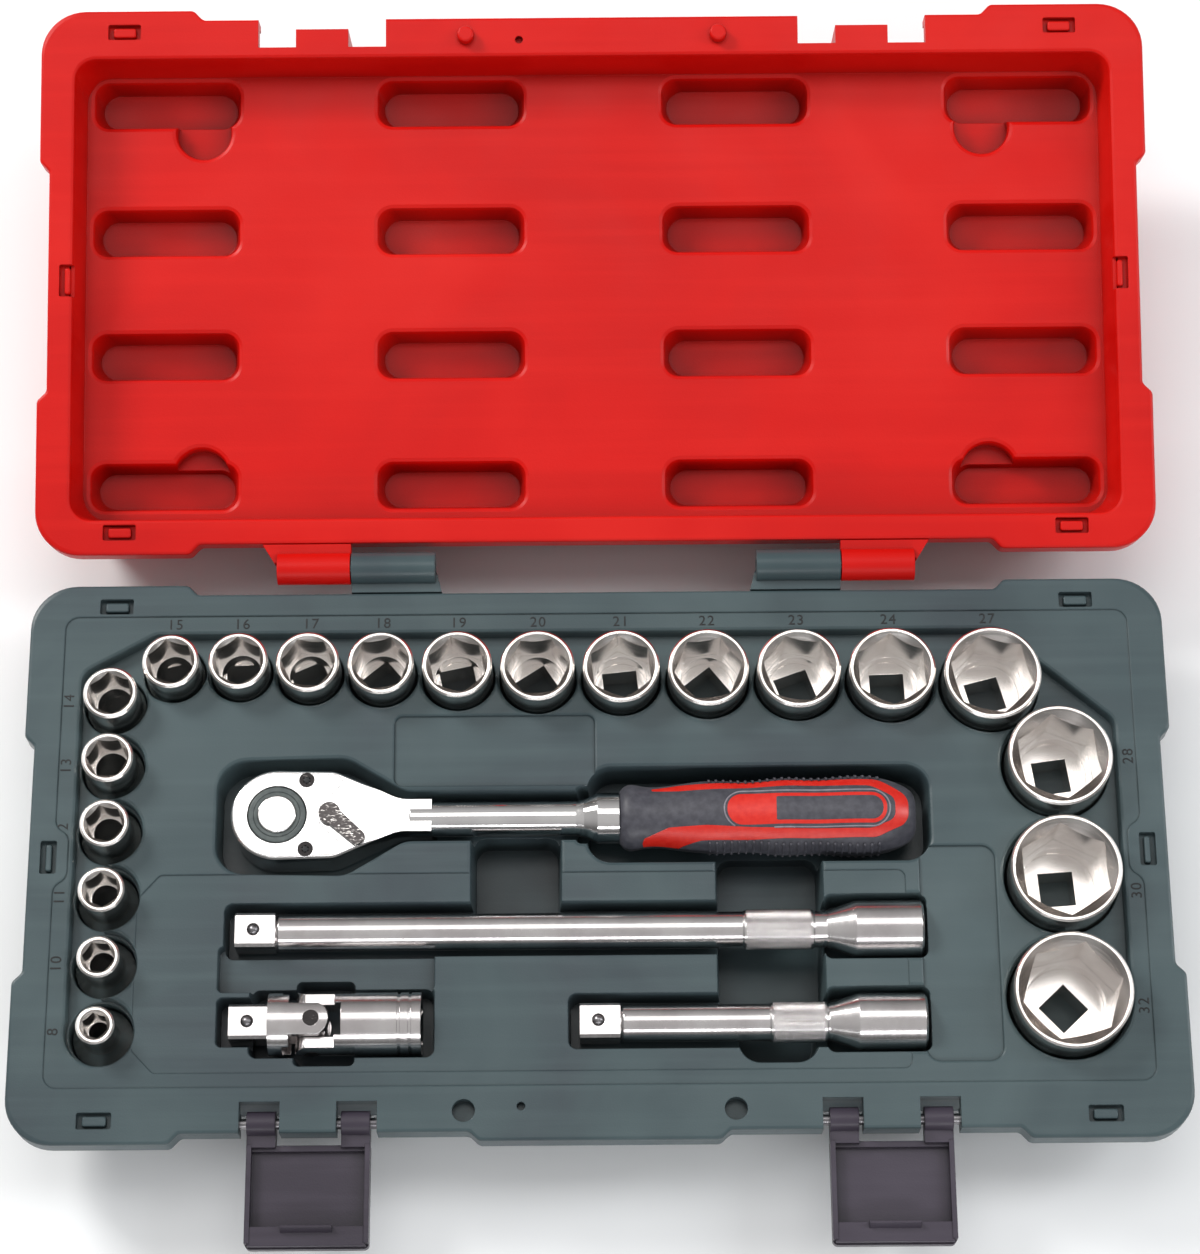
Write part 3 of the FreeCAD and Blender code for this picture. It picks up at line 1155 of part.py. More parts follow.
def insert_prism():
    """The second-colour moulding in the grip's upper face: a band that runs round the grip's
    end, with a broad leaf at one start, and the border of an oval badge."""
    y = RATCHET_Y
    end = GRIP_END_X
    z0 = SHANK_Z + 1.0
    z1 = SHANK_Z + 20.0
    outer = [(end - 101, -11.6), (end - 89, -12.6), (end - 79, -10.8), (end - 47, -10.6),
             (end - 15, -10.6), (end - 3, -5), (end - 3, 5), (end - 14, 12.0), (end - 46, 12.2),
             (end - 87, 10.6), (end - 103, 8.4)]
    inner = [(end - 87, 7.6), (end - 46, 9.2), (end - 17, 8.8), (end - 8, 4), (end - 8, -4),
             (end - 17, -7.7), (end - 47, -7.3), (end - 77, -5.9), (end - 91, -6.3),
             (end - 100, -9.6)]
    points = [(px, y + py) for px, py in outer + inner]
    radii = [2, 4, 8, 8, 9, 6, 6, 9, 9, 9, 0.6, 5, 9, 8, 4, 4, 8, 9, 9, 4, 1]
    band = prism(points, z0, z1, radii)
    long0 = BADGE_X[0]
    long1 = BADGE_X[1]
    half = BADGE_HALF
    rim = BADGE_RIM
    badge = prism(rectangle(long0, long1, y - half, y + half), SHANK_Z + 6, z1, half - 0.3)
    hollow = prism(rectangle(long0 + 18, long1 - rim, y - half + rim, y + half - rim),
                   SHANK_Z + 5, z1 + 1, [0.6, half - rim - 0.3, half - rim - 0.3, 0.6])
    return Part.makeCompound([band, cut(badge, hollow)])


def ratchet_grip():
    tang = rod(FERRULE_X + FERRULE_LENGTH - 1, RATCHET_Y, SHANK_Z, TANG_RADIUS + SEATED,
               GRIP_END_X - 18 - FERRULE_X - FERRULE_LENGTH + 1 + SEATED, "x")
    return cut(grip_solid(), [tang, insert_prism()])


def ratchet_grip_insert():
    return grip_solid().common(insert_prism())


# ---- universal joint ------------------------------------------------------------------------
def fork(x0, x1, up):
    """A fork round the x axis whose gap faces +x when x1 > x0; its ears are above and below
    if up, else front and rear."""
    y = UJOINT_Y
    start = min(x0, x1)
    way = 1 if x1 > x0 else -1
    blank = rod(start, y, BAR_Z, UJOINT_RADIUS, abs(x1 - x0), "x")
    r = UJOINT_RADIUS + 1
    tip = UJOINT_PIVOT_X + way * FORK_TIP
    throat = UJOINT_PIVOT_X - way * (CROSS_HALF + 5.2)
    a, b = sorted((throat, tip + way * 30))
    gap_z = FORK_GAP if up else r
    gap_y = r if up else FORK_GAP
    gap = box(a, b, y - gap_y, y + gap_y, BAR_Z - gap_z, BAR_Z + gap_z)
    if up:
        sweep = rod(UJOINT_PIVOT_X, y, BAR_Z - FORK_GAP, TIP_SWEEP, 2 * FORK_GAP)
    else:
        sweep = rod(UJOINT_PIVOT_X, y - FORK_GAP, BAR_Z, TIP_SWEEP, 2 * FORK_GAP, "y")
    shape = cut(blank, [gap, sweep])
    flat_a, flat_b = sorted((throat + way * 2.5, tip + way * 30))
    shaves = []
    for s in (-1, 1):
        if up:
            y0, y1 = sorted((y + s * EAR_HALF_WIDTH, y + s * r))
            shaves.append(box(flat_a, flat_b, y0, y1, BAR_Z - r, BAR_Z + r))
        else:
            z0, z1 = sorted((BAR_Z + s * EAR_HALF_WIDTH, BAR_Z + s * r))
            shaves.append(box(flat_a, flat_b, y - r, y + r, z0, z1))
    beyond_a, beyond_b = sorted((UJOINT_PIVOT_X, tip + way * 30))
    beyond = box(beyond_a, beyond_b, y - r, y + r, BAR_Z - r, BAR_Z + r)
    corners = cut(beyond, cross_bore(FORK_TIP, up))
    return cut(shape, shaves + [corners])


def cross_bore(radius, vertical):
    r = UJOINT_RADIUS + 2
    if vertical:
        return rod(UJOINT_PIVOT_X, UJOINT_Y, BAR_Z - r, radius, 2 * r)
    return rod(UJOINT_PIVOT_X, UJOINT_Y - r, BAR_Z, radius, 2 * r, "y")


def detent_bore(x, y):
    """The blind hole in a square's upper face that holds a spring and a ball."""
    top = BAR_Z + SQUARE / 2
    return rod(x, y, top - DETENT_BORE_DEPTH, DETENT_BALL_RADIUS + RUNNING, DETENT_BORE_DEPTH + 1)


def detent_ball(x, y):
    z = BAR_Z + SQUARE / 2 + DETENT_BALL_PROUD - DETENT_BALL_RADIUS
    return Part.makeSphere(DETENT_BALL_RADIUS, V(x, y, z))


def detent_spring(x, y):
    foot = BAR_Z + SQUARE / 2 - DETENT_BORE_DEPTH
    ball_under = BAR_Z + SQUARE / 2 + DETENT_BALL_PROUD - 2 * DETENT_BALL_RADIUS
    return coil(x, y, foot, 1.3, 0.3, ball_under - foot, 3)


def ujoint_drive_yoke():
    shape = fork(UJOINT_SHOULDER_X, UJOINT_PIVOT_X + FORK_TIP, True)
    square = square_bar(UJOINT_X, UJOINT_SHOULDER_X + 2, UJOINT_Y, BAR_Z, SQUARE)
    bores = [cross_bore(CROSS_PIN_RADIUS + SEATED, True),
             detent_bore(UJOINT_X + DETENT_FROM_END, UJOINT_Y)]
    return cut(fuse([shape, square]), bores)


def ujoint_socket_yoke():
    shape = fork(UJOINT_END_X, UJOINT_PIVOT_X - FORK_TIP, False)
    mouth = square_mouth(UJOINT_END_X, UJOINT_Y)
    grooves = []
    for x in (UJOINT_END_X - 8.0, UJOINT_END_X - 4.0):
        ring = cut(rod(x - 0.5, UJOINT_Y, BAR_Z, UJOINT_RADIUS + 1, 1.0, "x"),
                   rod(x - 1, UJOINT_Y, BAR_Z, UJOINT_RADIUS - 0.5, 2.0, "x"))
        grooves.append(ring)
    return cut(shape, mouth + grooves + [cross_bore(CROSS_PIN_RADIUS + RUNNING, False)])


def ujoint_cross():
    s = CROSS_HALF
    x = UJOINT_PIVOT_X
    y = UJOINT_Y
    block = box(x - s, x + s, y - s, y + s, BAR_Z - s, BAR_Z + s)
    block = block.makeChamfer(0.8, block.Edges)
    return cut(block, [cross_bore(CROSS_PIN_RADIUS + RUNNING, True),
                       cross_bore(CROSS_PIN_RADIUS + SEATED, False)])


def ujoint_fork_pin():
    """The long pin through the drive yoke's ears and the cross."""
    r = UJOINT_RADIUS - 0.3
    return rod(UJOINT_PIVOT_X, UJOINT_Y, BAR_Z - r, CROSS_PIN_RADIUS, 2 * r)


def ujoint_cross_pins():
    """Two short pins that carry the socket yoke, one each side of the long pin."""
    near = CROSS_PIN_RADIUS + 0.3
    length = UJOINT_RADIUS - 0.3 - near
    return Part.makeCompound([
        rod(UJOINT_PIVOT_X, UJOINT_Y + near, BAR_Z, CROSS_PIN_RADIUS, length, "y"),
        rod(UJOINT_PIVOT_X, UJOINT_Y - near - length, BAR_Z, CROSS_PIN_RADIUS, length, "y")])


# ---- extension bars -------------------------------------------------------------------------
def square_mouth(x, y):
    """Cuts for a square drive hole whose mouth faces +x."""
    half = SQUARE / 2 + SQUARE_CLEARANCE
    hole = box(x - SQUARE_DEPTH, x + 1, y - half, y + half, BAR_Z - half, BAR_Z + half)
    lead = Part.makeCone(half + 0.1, half + 2.2, 2.1, V(x - 2.1, y, BAR_Z), V(1, 0, 0))
    return [hole, lead]


def extension_bar(y, length, knurl):
    end = BAR_END_X
    start = end - length
    shoulder = start + SQUARE_LENGTH
    head = end - BAR_HEAD_LENGTH
    r = BAR_RADIUS
    rough = r + KNURL_RAISE
    profile = [(0, shoulder - 0.5), (r - 1.2, shoulder - 0.5), (r, shoulder + 1.2),
               (r, end - knurl[1] - 0.6), (rough, end - knurl[1]),
               (rough, end - knurl[0]), (r, end - knurl[0] + 0.6),
               (r, head - BAR_TAPER_LENGTH + 0.5), (BAR_HEAD_RADIUS, head),
               (BAR_HEAD_RADIUS, end - 0.8), (BAR_HEAD_RADIUS - 0.8, end), (0, end)]
    bar = revolve(profile, V(0, y, BAR_Z), "x")
    square = square_bar(start, shoulder, y, BAR_Z, SQUARE)
    return cut(fuse([bar, square]), square_mouth(end, y) + [detent_bore(start + DETENT_FROM_END, y)])


# ---- everything -----------------------------------------------------------------------------
def main():
    os.makedirs("parts", exist_ok=True)
    export("base_outer_shell", base_outer_shell())
    export("base_tool_tray", base_tool_tray())
    export("lid_outer_shell", lid_outer_shell())
    export("lid_inner_liner", lid_inner_liner())
    for side, word in ((-1, "left"), (1, "right")):
        export("hinge_pin_" + word, hinge_pin(side))
        export("latch_" + word, latch(side))
        export("latch_pin_" + word, latch_pin(side))
    left, rear, right = socket_places()
    for size, nose, length, x, y in left + rear + right:
        export("socket_%02dmm" % size, socket(size, nose, length, x, y))
    export("ratchet_body", ratchet_body())
    export("ratchet_cover_plate", ratchet_cover_plate())
    export("ratchet_cover_screws", ratchet_cover_screws())
    export("ratchet_gear", ratchet_gear())
    export("ratchet_seal_ring", ratchet_seal_ring())
    export("quick_release_button", quick_release_button())
    export("quick_release_spring", quick_release_spring())
    export("ratchet_drive_ball", ratchet_drive_ball())
    export("reversing_lever", reversing_lever())
    export("ratchet_pawl", ratchet_pawl())
    export("ratchet_grip", ratchet_grip())
    export("ratchet_grip_insert", ratchet_grip_insert())
    export("ujoint_drive_yoke", ujoint_drive_yoke())
    export("ujoint_socket_yoke", ujoint_socket_yoke())
    export("ujoint_cross", ujoint_cross())
    export("ujoint_fork_pin", ujoint_fork_pin())
    export("ujoint_cross_pins", ujoint_cross_pins())
    for name, y, length, knurl in (("long_extension", LONG_BAR_Y, LONG_BAR_LENGTH, LONG_KNURL),
                                   ("short_extension", SHORT_BAR_Y, SHORT_BAR_LENGTH,
                                    SHORT_KNURL)):
        x = BAR_END_X - length + DETENT_FROM_END
        export(name + "_bar", extension_bar(y, length, knurl))
        export(name + "_ball", detent_ball(x, y))
        export(name + "_spring", detent_spring(x, y))
    ball_x = UJOINT_X + DETENT_FROM_END
    export("ujoint_ball", detent_ball(ball_x, UJOINT_Y))
    export("ujoint_ball_spring", detent_spring(ball_x, UJOINT_Y))


main()
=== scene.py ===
"""Looks of the socket wrench set: finishes, knurls, grip trim, size numbers and the studio.

All lengths are in metres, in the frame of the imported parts: +X right, +Y towards the hinge,
+Z up, with the origin under the middle of the case's base.
"""

from __future__ import annotations

import json
import logging
import math
from contextlib import contextmanager
from dataclasses import dataclass, field
from enum import Enum
from typing import Callable, Iterator, Mapping, Sequence

import bmesh
import bpy
from mathutils import Euler, Matrix, Vector

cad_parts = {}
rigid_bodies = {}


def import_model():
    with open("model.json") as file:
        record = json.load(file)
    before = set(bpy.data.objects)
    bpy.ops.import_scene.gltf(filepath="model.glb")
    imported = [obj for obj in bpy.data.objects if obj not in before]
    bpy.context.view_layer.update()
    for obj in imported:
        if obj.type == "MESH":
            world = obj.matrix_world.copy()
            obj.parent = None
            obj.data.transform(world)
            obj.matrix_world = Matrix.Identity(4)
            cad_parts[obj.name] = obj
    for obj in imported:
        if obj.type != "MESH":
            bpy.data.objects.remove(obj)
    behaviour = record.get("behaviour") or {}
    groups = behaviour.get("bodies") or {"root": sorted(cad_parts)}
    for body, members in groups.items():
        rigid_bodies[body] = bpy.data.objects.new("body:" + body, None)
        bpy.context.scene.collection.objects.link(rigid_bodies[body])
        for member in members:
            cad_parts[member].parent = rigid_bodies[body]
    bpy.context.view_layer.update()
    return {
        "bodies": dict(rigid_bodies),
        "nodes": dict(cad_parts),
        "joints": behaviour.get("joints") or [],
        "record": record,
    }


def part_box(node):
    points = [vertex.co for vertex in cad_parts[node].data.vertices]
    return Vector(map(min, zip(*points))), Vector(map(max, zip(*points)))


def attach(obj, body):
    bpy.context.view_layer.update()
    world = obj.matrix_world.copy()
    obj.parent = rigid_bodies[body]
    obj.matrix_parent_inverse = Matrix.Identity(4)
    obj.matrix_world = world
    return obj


MM = 0.001
LOG = logging.getLogger("socket_set")
Colour = tuple[float, float, float, float]
MOST_OF_NOISE = (0.3, 0.7)  # the stretch in which most of a noise pattern's values lie


def paint(red: int, green: int, blue: int) -> Colour:
    """Turns a display colour into the linear one that shaders use.

    Args:
        red: Red, from 0 to 255.
        green: Green, from 0 to 255.
        blue: Blue, from 0 to 255.

    Returns:
        The linear colour with full opacity.
    """

    def straight(value: int) -> float:
        """Undoes the display curve of one channel."""
        share = value / 255
        return share / 12.92 if share <= 0.04045 else ((share + 0.055) / 1.055) ** 2.4

    return (straight(red), straight(green), straight(blue), 1.0)


# ---- finishes ---------------------------------------------------------------------------------


class Shader:
    """A node material that is being wired up."""

    def __init__(self, name: str) -> None:
        """Starts a material with a principled surface and object coordinates.

        Args:
            name: The material's name.
        """
        self.material = bpy.data.materials.new(name)
        self.material.use_nodes = True
        self.tree = self.material.node_tree
        self.tree.nodes.clear()
        output = self.tree.nodes.new("ShaderNodeOutputMaterial")
        self.surface = self.tree.nodes.new("ShaderNodeBsdfPrincipled")
        self.tree.links.new(self.surface.outputs["BSDF"], output.inputs["Surface"])
        self.place = self.tree.nodes.new("ShaderNodeTexCoord").outputs["Object"]

    def add(self, kind: str, **settings: object) -> bpy.types.Node:
        """Adds a node and sets its properties.

        Args:
            kind: The node's type name.
            settings: Its properties by name.

        Returns:
            The new node.
        """
        node = self.tree.nodes.new(kind)
        for key, value in settings.items():
            setattr(node, key, value)
        return node

    def feed(self, socket: bpy.types.NodeSocket, value: object) -> None:
        """Links an output to a socket, or sets the socket's own value.

        Args:
            socket: The input socket.
            value: An output socket, or a plain value.
        """
        if isinstance(value, bpy.types.NodeSocket):
            self.tree.links.new(value, socket)
        else:
            socket.default_value = value

    def uniform(self, **values: object) -> None:
        """Sets plain values on the surface's own sockets.

        Args:
            values: Values by socket name, with underscores for spaces.
        """
        for key, value in values.items():
            self.surface.inputs[key.replace("_", " ")].default_value = value

    def noise(self, scale: Sequence[float] | float, detail: float = 2.0,
              distortion: float = 0.0) -> bpy.types.NodeSocket:
        """A noise pattern fixed to the object.

        Args:
            scale: Waves per metre, for all axes or for each.
            detail: Octaves of finer noise.
            distortion: How far the pattern is warped.

        Returns:
            The pattern's factor output.
        """
        stretch = (scale,) * 3 if isinstance(scale, (int, float)) else tuple(scale)
        mapping = self.add("ShaderNodeMapping")
        mapping.inputs["Scale"].default_value = stretch
        self.feed(mapping.inputs["Vector"], self.place)
        node = self.add("ShaderNodeTexNoise")
        node.inputs["Scale"].default_value = 1.0
        node.inputs["Detail"].default_value = detail
        node.inputs["Distortion"].default_value = distortion
        self.feed(node.inputs["Vector"], mapping.outputs["Vector"])
        return node.outputs["Fac"]

    def ramp(self, factor: bpy.types.NodeSocket,
             stops: Sequence[tuple[float, Colour]]) -> bpy.types.NodeSocket:
        """Maps a factor to colours.

        Args:
            factor: The factor's output.
            stops: Positions and their colours, in rising order.

        Returns:
            The colour output.
        """
        node = self.add("ShaderNodeValToRGB")
        elements = node.color_ramp.elements
        while len(elements) < len(stops):
            elements.new(0.5)
        for element, (position, colour) in zip(elements, stops):
            element.position = position
            element.color = colour
        self.feed(node.inputs["Fac"], factor)
        return node.outputs["Color"]

    def remap(self, factor: bpy.types.NodeSocket, source: tuple[float, float],
              target: tuple[float, float]) -> bpy.types.NodeSocket:
        """Maps a factor from one range to another.

        Args:
            factor: The factor's output.
            source: The range it is read in.
            target: The range it is given.

        Returns:
            The mapped value's output.
        """
        node = self.add("ShaderNodeMapRange")
        for name, value in zip(("From Min", "From Max", "To Min", "To Max"), source + target):
            node.inputs[name].default_value = value
        self.feed(node.inputs["Value"], factor)
        return node.outputs["Result"]

    def blend(self, factor: object, first: object, second: object) -> bpy.types.NodeSocket:
        """Mixes two colours.

        Args:
            factor: Share of the second, as a value or an output.
            first: The first colour or output.
            second: The second colour or output.

        Returns:
            The mixed colour's output.
        """
        node = self.add("ShaderNodeMix", data_type="RGBA")
        self.feed(node.inputs[0], factor)
        self.feed(node.inputs[6], first)
        self.feed(node.inputs[7], second)
        return node.outputs[2]

    def openness(self, reach: float) -> bpy.types.NodeSocket:
        """How open the surface lies, from 0 at the foot of a deep hollow to 1 outside; plastics
        use it to paint shade into their hollows.

        Args:
            reach: How far away a wall still counts.

        Returns:
            The factor output.
        """
        node = self.add("ShaderNodeAmbientOcclusion", samples=8, only_local=True)
        node.inputs["Distance"].default_value = reach
        return node.outputs["AO"]

    def relief(self, heights: Sequence[tuple[bpy.types.NodeSocket, float]],
               edge: float) -> None:
        """Gives the surface softened edges and fine relief.

        Args:
            heights: Patterns and their depths in metres.
            edge: Radius that sharp edges are softened by.
        """
        soft = self.add("ShaderNodeBevel", samples=4)
        soft.inputs["Radius"].default_value = edge
        normal = soft.outputs["Normal"]
        for pattern, depth in heights:
            bump = self.add("ShaderNodeBump")
            bump.inputs["Distance"].default_value = depth
            self.feed(bump.inputs["Height"], pattern)
            self.feed(bump.inputs["Normal"], normal)
            normal = bump.outputs["Normal"]
        self.feed(self.surface.inputs["Normal"], normal)


@dataclass(frozen=True)
class MouldedPlastic:
    """Injection-moulded plastic with flow streaks, rubbed patches, a fine grain and painted shade
    in its deep hollows.
    """

    name: str
    colour: Colour
    rubbed: Colour
    deep: Colour
    # painted shade: the dark colour laid into deep hollows
    pocket: Colour
    roughness: tuple[float, float]
    shine: float = 0.4
    pocket_reach: float = 20.0 * MM
    grain: float = 0.04 * MM
    edge: float = 0.5 * MM
    cloud_scale: float = 11.0
    streak_scale: tuple[float, float, float] = (7.0, 190.0, 60.0)
    patch_scale: float = 34.0
    grain_scale: float = 1500.0

    def material(self) -> bpy.types.Material:
        """Returns the finish as a material."""
        shader = Shader(self.name)
        cloud = shader.noise(self.cloud_scale, 4.0, 0.6)
        streaks = shader.noise(self.streak_scale, 3.0)
        body = shader.ramp(cloud, [(0.28, self.deep), (0.52, self.colour), (0.8, self.rubbed)])
        streaked = shader.blend(shader.remap(streaks, (0.45, 0.8), (0.0, 0.5)), body, self.rubbed)
        # painted shade: where the occlusion finds the surface enclosed, the colour is pulled
        # towards the dark hollow colour
        depth = shader.remap(shader.openness(self.pocket_reach), (0.10, 0.80), (1.0, 0.0))
        with_painted_shade = shader.blend(depth, streaked, self.pocket)
        shader.feed(shader.surface.inputs["Base Color"], with_painted_shade)
        patches = shader.remap(shader.noise(self.patch_scale, 5.0), MOST_OF_NOISE, self.roughness)
        shader.feed(shader.surface.inputs["Roughness"], patches)
        shader.uniform(IOR=1.45)
        shader.surface.inputs["Specular IOR Level"].default_value = self.shine
        shader.relief([(shader.noise(self.grain_scale, 2.0), self.grain)], self.edge)
        return shader.material


@dataclass(frozen=True)
class PlatedSteel:
    """Bright plated steel with fine turning or polishing marks."""

    name: str
    colour: Colour
    shade: Colour
    roughness: tuple[float, float]
    marks: tuple[float, float, float]
    mark_depth: float = 0.004 * MM
    edge: float = 0.35 * MM
    tone_scale: float = 55.0

    def material(self) -> bpy.types.Material:
        """Returns the finish as a material."""
        shader = Shader(self.name)
        shader.uniform(Metallic=1.0)
        tone = shader.ramp(shader.noise(self.tone_scale, 3.0),
                           [(0.35, self.shade), (0.65, self.colour)])
        shader.feed(shader.surface.inputs["Base Color"], tone)
        turned = shader.noise(self.marks, 2.0)
        gloss = shader.remap(turned, MOST_OF_NOISE, self.roughness)
        shader.feed(shader.surface.inputs["Roughness"], gloss)
        shader.relief([(turned, self.mark_depth)], self.edge)
        return shader.material


@dataclass(frozen=True)
class ScratchedSteel:
    """Darkened steel whose high places are scratched bright."""

    name: str
    dark: Colour
    bright: Colour
    coverage: float
    roughness: tuple[float, float] = (0.42, 0.24)
    scratch_scale: tuple[float, float, float] = (500.0, 1500.0, 700.0)
    scratch_depth: float = 0.004 * MM
    scratch_edge: float = 0.08
    edge: float = 0.3 * MM

    def material(self) -> bpy.types.Material:
        """Returns the finish as a material."""
        shader = Shader(self.name)
        shader.uniform(Metallic=1.0)
        scratches = shader.noise(self.scratch_scale, 5.0, 0.8)
        start = 0.72 - self.coverage * 0.35
        share = shader.remap(scratches, (start, start + self.scratch_edge), (0.0, 1.0))
        shader.feed(shader.surface.inputs["Base Color"],
                    shader.blend(share, self.dark, self.bright))
        shader.feed(shader.surface.inputs["Roughness"],
                    shader.remap(scratches, MOST_OF_NOISE, self.roughness))
        shader.relief([(scratches, self.scratch_depth)], self.edge)
        return shader.material


@dataclass(frozen=True)
class SoftGrip:
    """Soft-touch moulding with a faint mottled skin."""

    name: str
    colour: Colour
    pale: Colour
    roughness: tuple[float, float]
    sheen: float = 0.0
    skin_scale: float = 420.0
    patch_scale: float = 90.0
    grain_scale: float = 2600.0
    grain: float = 0.03 * MM
    edge: float = 0.4 * MM

    def material(self) -> bpy.types.Material:
        """Returns the finish as a material."""
        shader = Shader(self.name)
        skin = shader.noise(self.skin_scale, 3.0)
        shader.feed(shader.surface.inputs["Base Color"],
                    shader.ramp(skin, [(0.35, self.colour), (0.7, self.pale)]))
        shader.feed(shader.surface.inputs["Roughness"],
                    shader.remap(shader.noise(self.patch_scale, 3.0), MOST_OF_NOISE,
                                 self.roughness))
        shader.uniform(Sheen_Weight=self.sheen)
        shader.relief([(shader.noise(self.grain_scale, 2.0), self.grain)], self.edge)
        return shader.material


class Finish(Enum):
    """The set's finishes."""

    # The fourth colour of each plastic is painted shade, laid into its deep hollows.
    BASE = MouldedPlastic("slate_plastic", paint(64, 79, 83), paint(78, 94, 97),
                          paint(54, 63, 70), paint(18, 20, 24), (0.28, 0.42))
    LID = MouldedPlastic("red_plastic", paint(206, 14, 7), paint(217, 28, 19),
                         paint(194, 9, 5), paint(96, 4, 2), (0.32, 0.44), 0.25)
    LATCH = MouldedPlastic("aubergine_plastic", paint(56, 50, 61), paint(74, 68, 80),
                           paint(45, 40, 50), paint(24, 22, 28), (0.30, 0.44))
    HEAD = PlatedSteel("polished_chrome", paint(243, 242, 241), paint(232, 230, 230),
                       (0.08, 0.13), (500.0, 120.0, 300.0), 0.0000008)
    SOCKET = PlatedSteel("socket_chrome", paint(246, 242, 238), paint(232, 226, 222),
                         (0.17, 0.27), (40.0, 40.0, 1500.0), 0.000001)
    SATIN = PlatedSteel("satin_chrome", paint(232, 229, 228), paint(214, 209, 209),
                        (0.15, 0.23), (1600.0, 30.0, 30.0), 0.0000008)
    PIN = PlatedSteel("plain_steel", paint(150, 148, 150), paint(120, 118, 122),
                      (0.25, 0.40), (900.0, 900.0, 900.0))
    DARK_STEEL = ScratchedSteel("blackened_steel", paint(52, 50, 50), paint(150, 146, 142), 0.1)
    LEVER = ScratchedSteel("rubbed_steel", paint(84, 80, 80), paint(226, 222, 218), 0.45)
    SEAL = SoftGrip("seal_rubber", paint(70, 78, 78), paint(88, 96, 95), (0.35, 0.50))
    GRIP = SoftGrip("grip_rubber", paint(62, 62, 70), paint(78, 78, 86), (0.36, 0.50), 0.05)
    GRIP_RED = SoftGrip("grip_red", paint(212, 30, 18), paint(222, 46, 32), (0.30, 0.42))
    OUTLINE = SoftGrip("grip_outline", paint(128, 124, 134), paint(148, 144, 152), (0.40, 0.50))
    # Ink of the size numbers; the same near-black is also painted shade inside the cover screws'
    # star recesses.
    NUMBER = SoftGrip("number_ink_and_painted_shade", paint(22, 24, 26), paint(34, 36, 38), (0.45, 0.60))


class Paintbox:
    """Makes each finish once and hands it out."""

    def __init__(self) -> None:
        """Starts with no finish made."""
        self.made: dict[Finish, bpy.types.Material] = {}

    def get(self, finish: Finish) -> bpy.types.Material:
        """Returns the material of a finish."""
        if finish not in self.made:
            self.made[finish] = finish.value.material()
        return self.made[finish]

    def dress(self, piece: bpy.types.Object, finish: Finish) -> None:
        """Gives a piece one finish all over.

        Args:
            piece: The piece or carried-over node.
            finish: Its finish.
        """
        if not piece.data.materials:
            piece.data.materials.append(self.get(finish))
        for index in range(len(piece.data.materials)):
            piece.data.materials[index] = self.get(finish)


# ---- bench ------------------------------------------------------------------------------------


